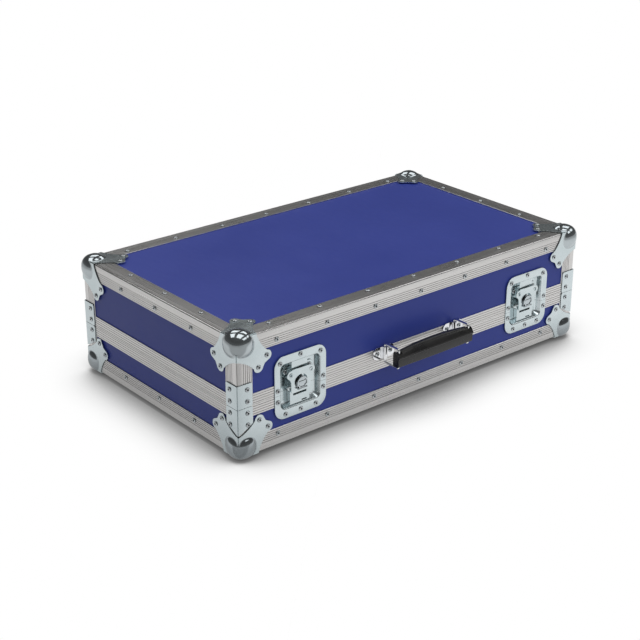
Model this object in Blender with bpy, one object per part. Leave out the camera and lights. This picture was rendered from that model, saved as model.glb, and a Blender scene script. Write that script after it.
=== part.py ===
"""Flight case for a lighting console, with a hinged lid, two butterfly latches and a swinging handle.

The frame has +X to the right along the front, +Y from the front to the back and +Z up.
The origin lies under the middle of the whole object, on the surface that it stands on.
"""
import math

import bmesh
import bpy
from mathutils import Vector

# Case, measured over the edge extrusions
case_length = 0.770
case_width = 0.446
seam_height = 0.086
lid_height = 0.119

# Clearances
seat_gap = 0.0003
seam_gap = 0.0003
running_gap = 0.0004
overrun = 0.004

# Mesh tidying
weld_distance = 0.000002
flat_angle = math.radians(0.05)
sharp_angle = math.radians(32)

# Plywood panels
panel_thickness = 0.009
panel_corner_lap = 0.0036

# Edge extrusions and corner posts
leg_width = 0.030
leg_thickness = 0.0015
edge_radius = 0.0020
edge_steps = 2
groove_start = 0.0130
groove_pitch = 0.0059
groove_width = 0.0022
groove_depth = 0.0006
groove_count = 3

# Lid location rims along the seam
rim_height = 0.0192
rim_post_lap = 0.0010
rim_inner_height = 0.014
rim_inner_thickness = 0.0012
rim_web = 0.0018
rim_lid_web = 0.0052
rim_groove_start = 0.0028
rim_groove_pitch = 0.0056
rim_groove_count = 3
tongue_inset = 0.0046
tongue_width = 0.0028
tongue_height = 0.0026
tongue_side_gap = 0.0007
tongue_end_gap = 0.0008

# Steel ball corners
ball_inset = 0.015
ball_reach = 0.023
ball_divisions = 5
unit_cube = 2
corner_plate = 0.0015
corner_fold_chamfer = 0.0021
corner_plate_cut = 0.013
corner_solid = 0.0104
corner_clearance = 0.0006
flange_foot = 0.038
flange_bend_along = 0.043
flange_bend_across = 0.018
lobe_far = 0.057
lobe_near = 0.0405
lobe_radius = 0.009
lobe_first_angle = -85.0
lobe_last_angle = 72.0
lobe_steps = 4
notch_reach = 0.0528
curve_steps = 3

# Corner braces beside the seam
brace_width = 0.028
brace_lid_height = 0.0405
brace_base_foot = 0.041
brace_base_bend = 0.0475
brace_base_shoulder = 0.056
brace_bend_width = 0.014
brace_corner = 0.003
brace_rivet_inset = 0.018
brace_rivet_near = 0.0100
brace_rivet_shares = (0.21, 0.74)

# Rivets
rivet_radius = 0.0039
rivet_crown_radius = 0.0023
rivet_height = 0.0016
rivet_root = 0.0007
rivet_sides = 6
rivet_inset = 0.0205
long_row_end = 0.0781
long_row_rivets = 7
short_row_end = 0.1207
short_row_rivets = 3

# Foam lining
foam_thickness = 0.020
foam_top_gap = 0.002

# Recessed latches, measured from the latch's own middle line and from a datum level below the seam
latch_inset = 0.124
latch_seam = 0.086
dish_half_width = 0.0525
dish_bottom = 0.042
dish_top = 0.152
dish_corner = 0.019
dish_sheet = 0.0012
dish_depth = 0.009
well_half_width = 0.0395
well_bottom = 0.0595
well_top = 0.1363
well_corner = 0.008
corner_steps = 3
dish_rivet_corner_half = 0.041
dish_rivet_corner_drop = 0.0114
dish_rivet_top_drop = 0.0054
dish_rivet_foot_half = 0.031
dish_rivet_foot_rise = 0.0077
dish_rivet_side_half = 0.0463
dish_rivet_side_rise = 0.0085
dish_rivet_side_drop = 0.0111

# Latch keeper, in the lower half of the dish
keeper_half_width = 0.020
keeper_bottom = 0.061
keeper_top = 0.0893
keeper_front = -0.0013
keeper_sheet = 0.0019
keeper_leg = 0.0016
keeper_leg_top = 0.084
window_half_width = 0.0135
window_bottom = 0.0760
window_top = 0.0876
keeper_slot_half_length = 0.005
keeper_slot_middle = 0.009
keeper_slot_bottom = 0.0625
keeper_slot_height = 0.0022

# Latch table, in the upper half of the dish
table_half_width = 0.016
table_bottom = 0.0898
table_top = 0.1360
table_front = -0.0014
table_sheet = 0.0013
table_leg_bottom = 0.103
table_leg_top = 0.134
foot_half_width = 0.031
foot_bottom = 0.110
foot_top = 0.126
foot_rivet_half_width = 0.0245

# Latch hub, hook plate and folding wing
hub_height = 0.0973
neck_radius = 0.005
collar_radius = 0.0068
collar_thickness = 0.0009
hub_disc_radius = 0.0115
hub_disc_bottom = 0.0033
hub_disc_thickness = 0.0010
hub_sides = 16
hook_back = 0.0010
hook_sheet = 0.0016
hook_top = 0.123
hook_bottom = 0.082
hook_top_half = 0.018
hook_ear_half = 0.028
hook_ear_height = 0.1145
hook_ear_radius = 0.0075
hook_waist_height = 0.1015
hook_waist_half = 0.020
hook_chamfer = 0.0035
hook_hole_radius = 0.0125
hook_hole_height = 0.0993
hook_stud_half = 0.020
lip_half_width = 0.012
lip_sheet = 0.0015
lip_reach = 0.0019
wing_half_width = 0.0105
wing_neck_half = 0.0074
wing_shoulder = 0.0040
wing_sheet = 0.0018
wing_rise = 0.0195
wing_well_depth = 0.0007
wing_well_rim = 0.0024
wing_steps = 8
wing_pin_radius = 0.0007
wing_barrel_radius = 0.0014
wing_pin_drop = 0.0085
wing_ear_thickness = 0.0014

# Swinging handle, heights measured from the same datum level as the latches'
handle_shift = -0.004
bracket_spread = 0.080
bracket_half_width = 0.024
bracket_bottom = 0.0866
bracket_top = 0.1080
bracket_corner = 0.0095
bracket_sheet = 0.0016
bracket_rivet_half = 0.0145
saddle_half_width = 0.0044
saddle_bottom = 0.0875
saddle_top = 0.1085
ring_radius = 0.0021
ring_sides = 8
ring_bottom = 0.0803
ring_top = 0.1140
ring_inner = 0.0046
ring_outer = 0.0385
ring_corner = 0.003
grip_half_length = 0.0855
grip_back = 0.0305
grip_front = 0.0465
grip_swell_half = 0.078
grip_top = 0.1105
grip_foot = 0.0838
grip_crown = 0.0045
grip_sag = 0.0035
grip_back_swell = 0.0015
grip_ridge = 0.1015
grip_chamfer = 0.003
grip_slope = 0.005
grip_stations = 8
slot_depth = 0.0035
slot_front = 0.0425
slot_inner_half = 0.0042
slot_outer_half = 0.0070

# Long hinge across the back
hinge_end_inset = 0.055
hinge_leaf = 0.0165
hinge_sheet = 0.0015
hinge_offset = 0.0040
knuckle_count = 7
knuckle_radius = 0.0033
knuckle_gap = 0.0004
hinge_pin_radius = 0.0015
hinge_sides = 8
hinge_rivets = 5
hinge_rivet_end = 0.050

# Derived places
case_height = seam_height + lid_height
case_shift = (grip_front - (ball_reach - ball_inset)) / 2
floor_level = ball_reach - ball_inset
top_level = floor_level + case_height
front_plane = case_shift - case_width / 2
back_plane = case_shift + case_width / 2
panel_inset = leg_thickness + seat_gap
panel_inner = panel_inset + panel_thickness
rim_inner_face = panel_inner + seat_gap + rim_inner_thickness
foam_outer = rim_inner_face + seat_gap
seam_base = seam_height - seam_gap / 2
seam_lid = seam_height + seam_gap / 2
plate_inner = seat_gap
plate_outer = seat_gap + corner_plate
dish_floor_back = dish_depth + dish_sheet
extrusion_end = corner_solid + corner_clearance
latch_spread = case_length / 2 - latch_inset
latch_shift = seam_height - latch_seam
hinge_half_length = case_length / 2 - hinge_end_inset
hinge_axis = Vector((0.0, back_plane + hinge_offset, floor_level + seam_height))

# Finishes: name, colour, metallic, roughness
laminate_finish = ("laminate", (0.045, 0.055, 0.230, 1.0), 0.0, 0.42)
aluminium_finish = ("aluminium", (0.62, 0.61, 0.59, 1.0), 0.9, 0.42)
steel_finish = ("zinc_steel", (0.60, 0.64, 0.66, 1.0), 1.0, 0.28)
chrome_finish = ("chrome", (0.80, 0.81, 0.83, 1.0), 1.0, 0.12)
rubber_finish = ("black_grip", (0.018, 0.019, 0.020, 1.0), 0.0, 0.48)
foam_finish = ("foam", (0.030, 0.031, 0.034, 1.0), 0.0, 0.95)

origins = {}


def start_scene():
    """Empty the scene and return the pivot that carries the lid."""
    for item in list(bpy.data.objects):
        bpy.data.objects.remove(item)
    pivot = bpy.data.objects.new("lid_pivot", None)
    bpy.context.collection.objects.link(pivot)
    pivot.location = hinge_axis
    origins["lid_pivot"] = hinge_axis
    return pivot


def finish_material(finish):
    """Return the material of one finish, made the first time it is asked for."""
    name, colour, metallic, roughness = finish
    if name in bpy.data.materials:
        return bpy.data.materials[name]
    material = bpy.data.materials.new(name)
    material.use_nodes = True
    shader = material.node_tree.nodes["Principled BSDF"]
    shader.inputs["Base Color"].default_value = colour
    shader.inputs["Metallic"].default_value = metallic
    shader.inputs["Roughness"].default_value = roughness
    material.diffuse_color = colour
    return material


def add_part(name, shape, finish, parent=None, origin=None):
    """Make a named object from a mesh or bmesh given in world places."""
    if isinstance(shape, bmesh.types.BMesh):
        mesh = mesh_of(shape)
    else:
        mesh = shape
    mesh.name = name
    place = Vector(origin) if origin is not None else Vector()
    base = Vector()
    if parent is not None:
        base = origins[parent.name]
        if origin is None:
            place = base
    for vertex in mesh.vertices:
        vertex.co -= place
    mesh.materials.clear()
    mesh.materials.append(finish_material(finish))
    mesh.shade_smooth()
    mesh.set_sharp_from_angle(angle=sharp_angle)
    item = bpy.data.objects.new(name, mesh)
    bpy.context.collection.objects.link(item)
    item.parent = parent
    item.location = place - base
    origins[name] = place
    return item


def mesh_of(shape):
    """Turn a bmesh of closed shells into a mesh whose faces point outwards."""
    bmesh.ops.recalc_face_normals(shape, faces=shape.faces)
    mesh = bpy.data.meshes.new("shape")
    shape.to_mesh(mesh)
    shape.free()
    return mesh


def carved(shape, *steps):
    """Return a mesh after each (operation, other shape) step in turn."""
    body = bpy.data.objects.new("blank", mesh_of(shape))
    bpy.context.collection.objects.link(body)
    helpers = [body]
    for operation, other in steps:
        tool = bpy.data.objects.new("tool", mesh_of(other))
        bpy.context.collection.objects.link(tool)
        helpers.append(tool)
        modifier = body.modifiers.new(operation, "BOOLEAN")
        modifier.operation = operation
        modifier.solver = "EXACT"
        modifier.object = tool
    depsgraph = bpy.context.evaluated_depsgraph_get()
    result = bpy.data.meshes.new_from_object(body.evaluated_get(depsgraph))
    for helper in helpers:
        bpy.data.objects.remove(helper)
    return tidied(result)


def tidied(mesh):
    """Merge doubled points and flatten split faces that a cut leaves."""
    shape = bmesh.new()
    shape.from_mesh(mesh)
    bmesh.ops.remove_doubles(shape, verts=shape.verts, dist=weld_distance)
    bmesh.ops.dissolve_limit(shape, angle_limit=flat_angle, verts=shape.verts, edges=shape.edges)
    bmesh.ops.triangulate(shape, faces=shape.faces)
    shape.to_mesh(mesh)
    shape.free()
    return mesh


def face_frame(side):
    """Return the place function of a case side: (across, along, outwards) to a point in space."""
    half = case_length / 2
    frames = {
        "front": ((0.0, front_plane, floor_level), (1, 0, 0), (0, 0, 1), (0, -1, 0)),
        "back": ((0.0, back_plane, floor_level), (1, 0, 0), (0, 0, 1), (0, 1, 0)),
        "left": ((-half, case_shift, floor_level), (0, 1, 0), (0, 0, 1), (-1, 0, 0)),
        "right": ((half, case_shift, floor_level), (0, 1, 0), (0, 0, 1), (1, 0, 0)),
        "top": ((0.0, case_shift, top_level), (1, 0, 0), (0, 1, 0), (0, 0, 1)),
        "bottom": ((0.0, case_shift, floor_level), (1, 0, 0), (0, 1, 0), (0, 0, -1)),
    }
    origin, across, along, outwards = (Vector(entry) for entry in frames[side])

    def place(first, second, third):
        return origin + across * first + along * second + outwards * third

    return place


def corner_frame(end, side, level):
    """Return the place function of a case corner, from distances inwards from its three faces."""
    def place(from_end, from_side, from_level):
        height = floor_level + from_level if level == "base" else top_level - from_level
        return Vector((end * (case_length / 2 - from_end),
                       case_shift + side * (case_width / 2 - from_side), height))

    return place


def moved(place, first=0.0, second=0.0, third=0.0):
    """Return a place function whose origin is shifted along its own axes."""
    def shifted(across, along, outwards):
        return place(across + first, along + second, outwards + third)

    return shifted


def turned_axes(place, order):
    """Return a place function whose three arguments are taken in another order."""
    def swapped(*values):
        return place(*(values[index] for index in order))

    return swapped


def arc(centre, radius, first, last, steps):
    """Points on an arc between two angles in degrees."""
    points = []
    for index in range(steps + 1):
        angle = math.radians(first + (last - first) * index / steps)
        points.append((centre[0] + radius * math.cos(angle), centre[1] + radius * math.sin(angle)))
    return points


def bend(start, control, end, steps):
    """Points on a smooth curve that leaves start and meets end towards the control point."""
    points = []
    for index in range(steps + 1):
        share = index / steps
        rest = 1 - share
        points.append(tuple(rest * rest * first + 2 * rest * share * middle + share * share * last
                            for first, middle, last in zip(start, control, end)))
    return points


def outward(place):
    """Return a place function whose third axis points the other way."""
    return lambda first, second, third: place(first, second, -third)


def corner_names():
    """Name, end and side of each upright corner of the case."""
    for side_name, side in (("front", -1), ("back", 1)):
        for end_name, end in (("left", -1), ("right", 1)):
            yield f"{side_name}_{end_name}", end, side


def rounded_rectangle(left, right, bottom, top, radius, steps=corner_steps):
    """Outline of a rectangle with round corners."""
    return (arc((right - radius, bottom + radius), radius, -90, 0, steps)
            + arc((right - radius, top - radius), radius, 0, 90, steps)
            + arc((left + radius, top - radius), radius, 90, 180, steps)
            + arc((left + radius, bottom + radius), radius, 180, 270, steps))


def rectangle(left, right, bottom, top):
    """Outline of a rectangle."""
    return [(left, bottom), (right, bottom), (right, top), (left, top)]


def mirrored(half_outline):
    """Close an outline that is given for its right half, from its foot to its top."""
    return half_outline + [(-across, along) for across, along in reversed(half_outline)]


def add_prism(shape, outline, start, end, place):
    """Extrude an outline between two levels of the third axis of a place function."""
    near = [shape.verts.new(place(first, second, start)) for first, second in outline]
    far = [shape.verts.new(place(first, second, end)) for first, second in outline]
    shape.faces.new(near)
    shape.faces.new(list(reversed(far)))
    for index in range(len(outline)):
        following = (index + 1) % len(outline)
        shape.faces.new((near[following], near[index], far[index], far[following]))


def add_box(shape, place, across, along, outwards):
    """Add a box from its three pairs of limits."""
    add_prism(shape, rectangle(*across, *along), outwards[0], outwards[1], place)


def add_turned(shape, profile, sides, place):
    """Revolve (radius, level) pairs about the third axis of a place function."""
    rings = []
    for radius, level in profile:
        ring = []
        for index in range(sides):
            angle = math.tau * (index + 0.5) / sides
            ring.append(shape.verts.new(place(radius * math.cos(angle), radius * math.sin(angle), level)))
        rings.append(ring)
    shape.faces.new(rings[0])
    shape.faces.new(list(reversed(rings[-1])))
    for lower, upper in zip(rings, rings[1:]):
        for index in range(sides):
            following = (index + 1) % sides
            shape.faces.new((lower[following], lower[index], upper[index], upper[following]))


def add_loop(shape, path, radius, sides, place):
    """Sweep a round bar round a closed path in the plane of the first two axes."""
    rings = []
    for index, point in enumerate(path):
        before = Vector(path[index - 1])
        after = Vector(path[(index + 1) % len(path)])
        along = (after - before).normalized()
        normal = Vector((along.y, -along.x))
        ring = []
        for side in range(sides):
            angle = math.tau * (side + 0.5) / sides
            reach = Vector(point) + normal * radius * math.cos(angle)
            ring.append(shape.verts.new(place(reach.x, reach.y, radius * math.sin(angle))))
        rings.append(ring)
    for index, ring in enumerate(rings):
        following = rings[(index + 1) % len(rings)]
        for side in range(sides):
            other = (side + 1) % sides
            shape.faces.new((ring[side], ring[other], following[other], following[side]))


def new_shape():
    """Return an empty shape."""
    return bmesh.new()


def box_shape(place, across, along, outwards):
    """Return a shape that holds one box."""
    shape = new_shape()
    add_box(shape, place, across, along, outwards)
    return shape


def prism_shape(outline, start, end, place):
    """Return a shape that holds one prism."""
    shape = new_shape()
    add_prism(shape, outline, start, end, place)
    return shape


def turned_shape(profile, sides, place):
    """Return a shape that holds one turned solid."""
    shape = new_shape()
    add_turned(shape, profile, sides, place)
    return shape


def grooved(start, pitch, count):
    """Points (distance, depth) over the V grooves of a ridged face."""
    points = []
    for index in range(count):
        left = start + index * pitch
        points += [(left, 0.0), (left + groove_width / 2, groove_depth), (left + groove_width, 0.0)]
    return points


def edge_outline():
    """Section of the angle extrusion, as distances inwards from its two faces."""
    corner = arc((edge_radius, edge_radius), edge_radius, 180, 270, edge_steps)
    ridges = grooved(groove_start, groove_pitch, groove_count)
    second_leg = [(depth, distance) for distance, depth in reversed(ridges)]
    return (corner + ridges
            + [(leg_width, 0.0), (leg_width, leg_thickness), (leg_thickness, leg_thickness),
               (leg_thickness, leg_width), (0.0, leg_width)] + second_leg)


def base_rim_outline():
    """Section of the base rim: inwards from the face, and height above the case floor."""
    low = seam_height - rim_height
    ridges = [(depth, low + distance)
              for distance, depth in grooved(rim_groove_start, rim_groove_pitch, rim_groove_count)]
    inner = rim_inner_face - rim_inner_thickness
    web = seam_base - rim_web
    tongue_end = tongue_inset + tongue_width
    return ([(leg_thickness, low), (leg_thickness, web), (inner, web), (inner, seam_base - rim_inner_height),
             (rim_inner_face, seam_base - rim_inner_height), (rim_inner_face, seam_base),
             (tongue_end, seam_base), (tongue_end, seam_base + tongue_height),
             (tongue_inset, seam_base + tongue_height), (tongue_inset, seam_base), (0.0, seam_base)]
            + list(reversed(ridges)) + [(0.0, low)])


def lid_rim_outline():
    """Section of the lid rim, whose channel fits over the tongue of the base rim."""
    high = seam_height + rim_height
    ridges = [(depth, high - distance)
              for distance, depth in grooved(rim_groove_start, rim_groove_pitch, rim_groove_count)]
    inner = rim_inner_face - rim_inner_thickness
    web = seam_lid + rim_lid_web
    channel = tongue_inset - tongue_side_gap
    channel_end = tongue_inset + tongue_width + tongue_side_gap
    roof = seam_base + tongue_height + tongue_end_gap
    inner_top = web + rim_inner_height
    return ([(0.0, seam_lid), (channel, seam_lid), (channel, roof), (channel_end, roof),
             (channel_end, seam_lid), (rim_inner_face, seam_lid), (rim_inner_face, inner_top),
             (inner, inner_top), (inner, web), (leg_thickness, web), (leg_thickness, high), (0.0, high)]
            + ridges)


def latch_middles():
    """Sides and middle lines of the two latches."""
    return (("left", -latch_spread), ("right", latch_spread))


def latch_frame(middle):
    """Place function of a latch: across from its middle line, height above its datum, outwards."""
    return moved(face_frame("front"), first=middle, second=latch_shift)


def well_cutter(depth):
    """Cutters for both latch wells, down to a depth below the front face."""
    shape = new_shape()
    reach = dish_sheet + seat_gap
    outline = rounded_rectangle(-well_half_width - reach, well_half_width + reach,
                                well_bottom - reach, well_top + reach, well_corner + reach)
    for _, middle in latch_middles():
        add_prism(shape, outline, -depth, overrun, latch_frame(middle))
    return shape


def make_panels(lid):
    """Plywood panels of the base and the lid, with room for the latch wells in the front ones."""
    inner_half = case_length / 2 - panel_inset
    inner_width = case_width / 2 - panel_inset
    cut = extrusion_end - panel_inset - panel_corner_lap
    quarter = [(inner_half, inner_width - cut), (inner_half - cut, inner_width)]
    right = [(across, -along) for across, along in reversed(quarter)] + quarter
    outline = right + [(-across, along) for across, along in reversed(right)]
    add_part("base_floor_panel", prism_shape(outline, -panel_inner, -panel_inset, face_frame("bottom")),
             laminate_finish)
    add_part("lid_top_panel", prism_shape(outline, -panel_inner, -panel_inset, face_frame("top")),
             laminate_finish, lid)
    levels = {
        "base": (panel_inner + seat_gap, seam_base - rim_web - seat_gap, None),
        "lid": (seam_lid + rim_lid_web + seat_gap, case_height - panel_inner - seat_gap, lid),
    }
    end_half = case_width / 2 - panel_inner - seat_gap
    for level, (bottom, top, parent) in levels.items():
        for side in ("front", "back", "left", "right"):
            half = inner_half if side in ("front", "back") else end_half
            shape = box_shape(face_frame(side), (-half, half), (bottom, top), (-panel_inner, -panel_inset))
            if side == "front":
                shape = carved(shape, ("DIFFERENCE", well_cutter(panel_inner + overrun)))
            add_part(f"{level}_{side}_panel", shape, laminate_finish, parent)


def edge_rivets(level, side):
    """Rivets in both legs of one edge extrusion."""
    shape = new_shape()
    height = rivet_inset if level == "base" else case_height - rivet_inset
    sheet = face_frame("bottom" if level == "base" else "top")
    long_edge = side in ("front", "back")
    count = long_row_rivets if long_edge else short_row_rivets
    length = case_length if long_edge else case_width
    row_end = long_row_end if long_edge else short_row_end
    pitch = (length - 2 * row_end) / (count - 1)
    hand = 1 if side in ("back", "right") else -1
    inner = hand * ((case_width if long_edge else case_length) / 2 - rivet_inset)
    for index in range(count):
        along = (index - (count - 1) / 2) * pitch
        add_rivet(shape, face_frame(side), along, height, 0.0)
        add_rivet(shape, sheet, *((along, inner) if long_edge else (inner, along)), 0.0)
    return shape


def make_edges(lid):
    """Angle extrusions along the four edges of the floor and of the top."""
    outline = edge_outline()
    long_half = case_length / 2 - extrusion_end
    short_half = case_width / 2 - leg_width - seat_gap
    places = {
        "front": (1, -1, (2, 0, 1), long_half),
        "back": (1, 1, (2, 0, 1), long_half),
        "left": (-1, -1, (0, 2, 1), short_half),
        "right": (1, -1, (0, 2, 1), short_half),
    }
    for level, parent in (("base", None), ("lid", lid)):
        for side, (end, depth, order, half) in places.items():
            corner = corner_frame(end, depth, level)
            if half == long_half:
                middle = moved(corner, first=case_length / 2)
            else:
                middle = moved(corner, second=case_width / 2)
            shape = carved(prism_shape(outline, -half, half, turned_axes(middle, order)),
                           ("UNION", edge_rivets(level, side)))
            add_part(f"{level}_edge_{side}", shape, aluminium_finish, parent)


def ring_frame(outline):
    """Sweep a section round the case, mitred at the four corners."""
    shape = new_shape()
    rings = []
    for end, side in ((-1, -1), (1, -1), (1, 1), (-1, 1)):
        place = corner_frame(end, side, "base")
        rings.append([shape.verts.new(place(inwards, inwards, height)) for inwards, height in outline])
    for index, ring in enumerate(rings):
        following = rings[(index + 1) % len(rings)]
        for first in range(len(ring)):
            second = (first + 1) % len(ring)
            shape.faces.new((ring[first], ring[second], following[second], following[first]))
    return shape


def make_rim_frames(lid):
    """Tongue and channel extrusions round the seam, each frame joined to its four corner posts."""
    frames = {
        "base": (base_rim_outline(), seam_height - rim_height, None),
        "lid": (lid_rim_outline(), case_height - seam_height - rim_height, lid),
    }
    for level, (outline, length, parent) in frames.items():
        steps = []
        for end in (-1, 1):
            for side in (-1, 1):
                post = prism_shape(edge_outline(), leg_width + seat_gap, length + rim_post_lap,
                                   corner_frame(end, side, level))
                steps.append(("UNION", post))
        steps.append(("DIFFERENCE", well_cutter(dish_floor_back + seat_gap)))
        add_part(f"{level}_rim_frame", carved(ring_frame(outline), *steps), aluminium_finish, parent)


def flange_outline():
    """Outline of one ball corner flange, as distances along the two edges that it lies between."""
    lobe = arc((lobe_far, lobe_near), lobe_radius, lobe_first_angle, lobe_last_angle, lobe_steps)
    side_curve = bend((flange_foot, 0.0), (flange_bend_along, flange_bend_across), lobe[0], curve_steps)
    half = [(flange_foot, -plate_outer)] + side_curve + lobe[1:]
    other_half = [(second, first) for first, second in reversed(half)]
    return [(-plate_outer, -plate_outer)] + half + [(notch_reach, notch_reach)] + other_half


def ball_shape(place):
    """Ball of a corner, with a flat facet square to each axis."""
    shape = new_shape()
    bmesh.ops.create_cube(shape, size=unit_cube)
    bmesh.ops.subdivide_edges(shape, edges=shape.edges, cuts=ball_divisions - 1, use_grid_fill=True)
    facet = math.tan(math.pi / 4 / ball_divisions)
    radius = ball_reach * math.sqrt(1 + 2 * facet * facet)
    for vertex in shape.verts:
        direction = Vector([math.tan(value * math.pi / 4) for value in vertex.co]).normalized()
        vertex.co = place(*(ball_inset + radius * value for value in direction))
    return shape


def corner_wedge(start, total):
    """Everything from a corner point up to the slanted plane where the three distances add to a total."""
    shape = new_shape()
    reach = total - 2 * start
    corner = shape.verts.new((start, start, start))
    tips = [shape.verts.new(tuple(reach if axis == index else start for axis in range(3)))
            for index in range(3)]
    shape.faces.new(tips)
    for index, tip in enumerate(tips):
        shape.faces.new((corner, tip, tips[index - 1]))
    return shape


def corner_mesh():
    """Mesh of one pressed ball corner, in distances inwards from the three faces."""
    outline = flange_outline()
    outside = -plate_outer - overrun
    far = lobe_far + lobe_radius + overrun
    fold = corner_fold_chamfer - 2 * plate_outer - outside
    fold_outline = [(outside, outside), (fold, outside), (outside, fold)]

    def local(first, second, third):
        return Vector((first, second, third))

    orders = [turned_axes(local, order) for order in ((0, 1, 2), (2, 0, 1), (1, 2, 0))]
    plates = [prism_shape(outline, -plate_outer, -plate_inner, order) for order in orders]
    steps = [("UNION", plate) for plate in plates[1:]]
    steps += [("DIFFERENCE", prism_shape(fold_outline, outside, far, order)) for order in orders]
    steps.append(("DIFFERENCE", corner_wedge(outside, corner_plate_cut)))
    steps.append(("UNION", ball_shape(local)))
    room = new_shape()
    limits = (-plate_inner, far)
    room.from_mesh(carved(box_shape(local, limits, limits, limits),
                          ("DIFFERENCE", corner_wedge(outside, corner_solid))))
    steps.append(("DIFFERENCE", room))
    rivets = new_shape()
    for order in orders:
        face = outward(order)
        add_rivet(rivets, face, lobe_far, lobe_near, plate_outer)
        add_rivet(rivets, face, lobe_near, lobe_far, plate_outer)
    steps.append(("UNION", rivets))
    return carved(plates[0], *steps)


def make_ball_corners(lid):
    """Four ball corners on the base and four on the lid."""
    mesh = corner_mesh()
    for level, parent in (("base", None), ("lid", lid)):
        for name, end, side in corner_names():
            place = corner_frame(end, side, level)
            shape = new_shape()
            copies = [shape.verts.new(place(*vertex.co)) for vertex in mesh.vertices]
            for polygon in mesh.polygons:
                shape.faces.new([copies[index] for index in polygon.vertices])
            add_part(f"{level}_ball_corner_{name}", shape, steel_finish, parent)


def add_folded_plate(shape, half_outline, place):
    """Add an angle plate over a corner post, folded along the outer edge."""
    skins = {}
    for surface, offset in (("outer", -plate_outer), ("inner", -plate_inner)):
        for leg in (0, 1):
            points = []
            for index, (across, along) in enumerate(half_outline):
                fold = index in (0, len(half_outline) - 1)
                if fold and leg == 1:
                    points.append(skins[surface, 0][index])
                    continue
                reach = offset if fold else across
                pair = (reach, offset) if leg == 0 else (offset, reach)
                points.append(shape.verts.new(place(*pair, along)))
            skins[surface, leg] = points
            shape.faces.new(points)
    for leg in (0, 1):
        outer = skins["outer", leg]
        inner = skins["inner", leg]
        for index in range(len(outer) - 1):
            shape.faces.new((outer[index], outer[index + 1], inner[index + 1], inner[index]))


def brace_outlines():
    """Half outlines of the base and lid braces, from the fold's foot round to its other end."""
    base_edge = brace_width - brace_corner
    base = bend((0.0, brace_base_foot), (brace_bend_width, brace_base_bend),
                (brace_width, brace_base_shoulder), curve_steps)
    base += arc((base_edge, seam_base - brace_corner), brace_corner, 0, 90, edge_steps)
    base += [(0.0, seam_base)]
    lid_foot = case_height - seam_lid
    lid_head = lid_foot - brace_lid_height
    lid = [(0.0, lid_head)]
    lid += arc((base_edge, lid_head + brace_corner), brace_corner, -90, 0, edge_steps)
    lid += arc((base_edge, lid_foot - brace_corner), brace_corner, 0, 90, edge_steps)
    lid += [(0.0, lid_foot)]
    return {"base": base, "lid": lid}


def make_braces(lid):
    """Angle plates at the four upright corners, on both sides of the seam."""
    for level, outline in brace_outlines().items():
        if level == "base":
            straight = seam_base - brace_base_bend
            heights = [brace_base_bend + share * straight for share in brace_rivet_shares]
        else:
            foot = case_height - seam_lid
            heights = (foot - brace_rivet_near, foot - brace_lid_height + brace_rivet_near)
        for name, end, side in corner_names():
            corner = corner_frame(end, side, level)
            shape = new_shape()
            add_folded_plate(shape, outline, corner)
            rivets = new_shape()
            for order in ((0, 2, 1), (2, 0, 1)):
                face = outward(turned_axes(corner, order))
                for height in heights:
                    add_rivet(rivets, face, brace_rivet_inset, height, plate_outer)
            add_part(f"{level}_corner_brace_{name}", carved(shape, ("UNION", rivets)), steel_finish,
                     lid if level == "lid" else None)


def add_rivet(shape, place, across, along, seat):
    """Add a domed rivet head, rooted in the sheet whose outer face has the given level."""
    profile = [(rivet_radius, seat - rivet_root), (rivet_crown_radius, seat + rivet_height)]
    add_turned(shape, profile, rivet_sides, moved(place, first=across, second=along))


def dish_rivet_places():
    """Rivet places on the latch dish flange: those of the base half and those of the lid half."""
    foot = dish_bottom + dish_rivet_foot_rise
    low = latch_seam - dish_rivet_side_drop
    high = latch_seam + dish_rivet_side_rise
    head = dish_top - dish_rivet_corner_drop
    base = [(-dish_rivet_foot_half, foot), (0.0, foot), (dish_rivet_foot_half, foot),
            (-dish_rivet_side_half, low), (dish_rivet_side_half, low)]
    lid = [(-dish_rivet_side_half, high), (dish_rivet_side_half, high),
           (-dish_rivet_corner_half, head), (0.0, dish_top - dish_rivet_top_drop),
           (dish_rivet_corner_half, head)]
    return {"base": base, "lid": lid}


def make_foam(lid):
    """Foam liner of the base and of the lid, each a tray against the panels."""
    half = case_length / 2 - foam_outer
    width = case_width / 2 - foam_outer
    start = panel_inner + seat_gap
    heights = {"base": ("bottom", seam_base - foam_top_gap, None),
               "lid": ("top", case_height - seam_lid - foam_top_gap, lid)}
    for level, (sheet, depth, parent) in heights.items():
        face = face_frame(sheet)
        hollow = box_shape(face, (foam_thickness - half, half - foam_thickness),
                           (foam_thickness - width, width - foam_thickness),
                           (-depth - overrun, -start - foam_thickness))
        block = box_shape(face, (-half, half), (-width, width), (-depth, -start))
        add_part(f"{level}_foam_liner", carved(block, ("DIFFERENCE", hollow)), foam_finish, parent)


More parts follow.
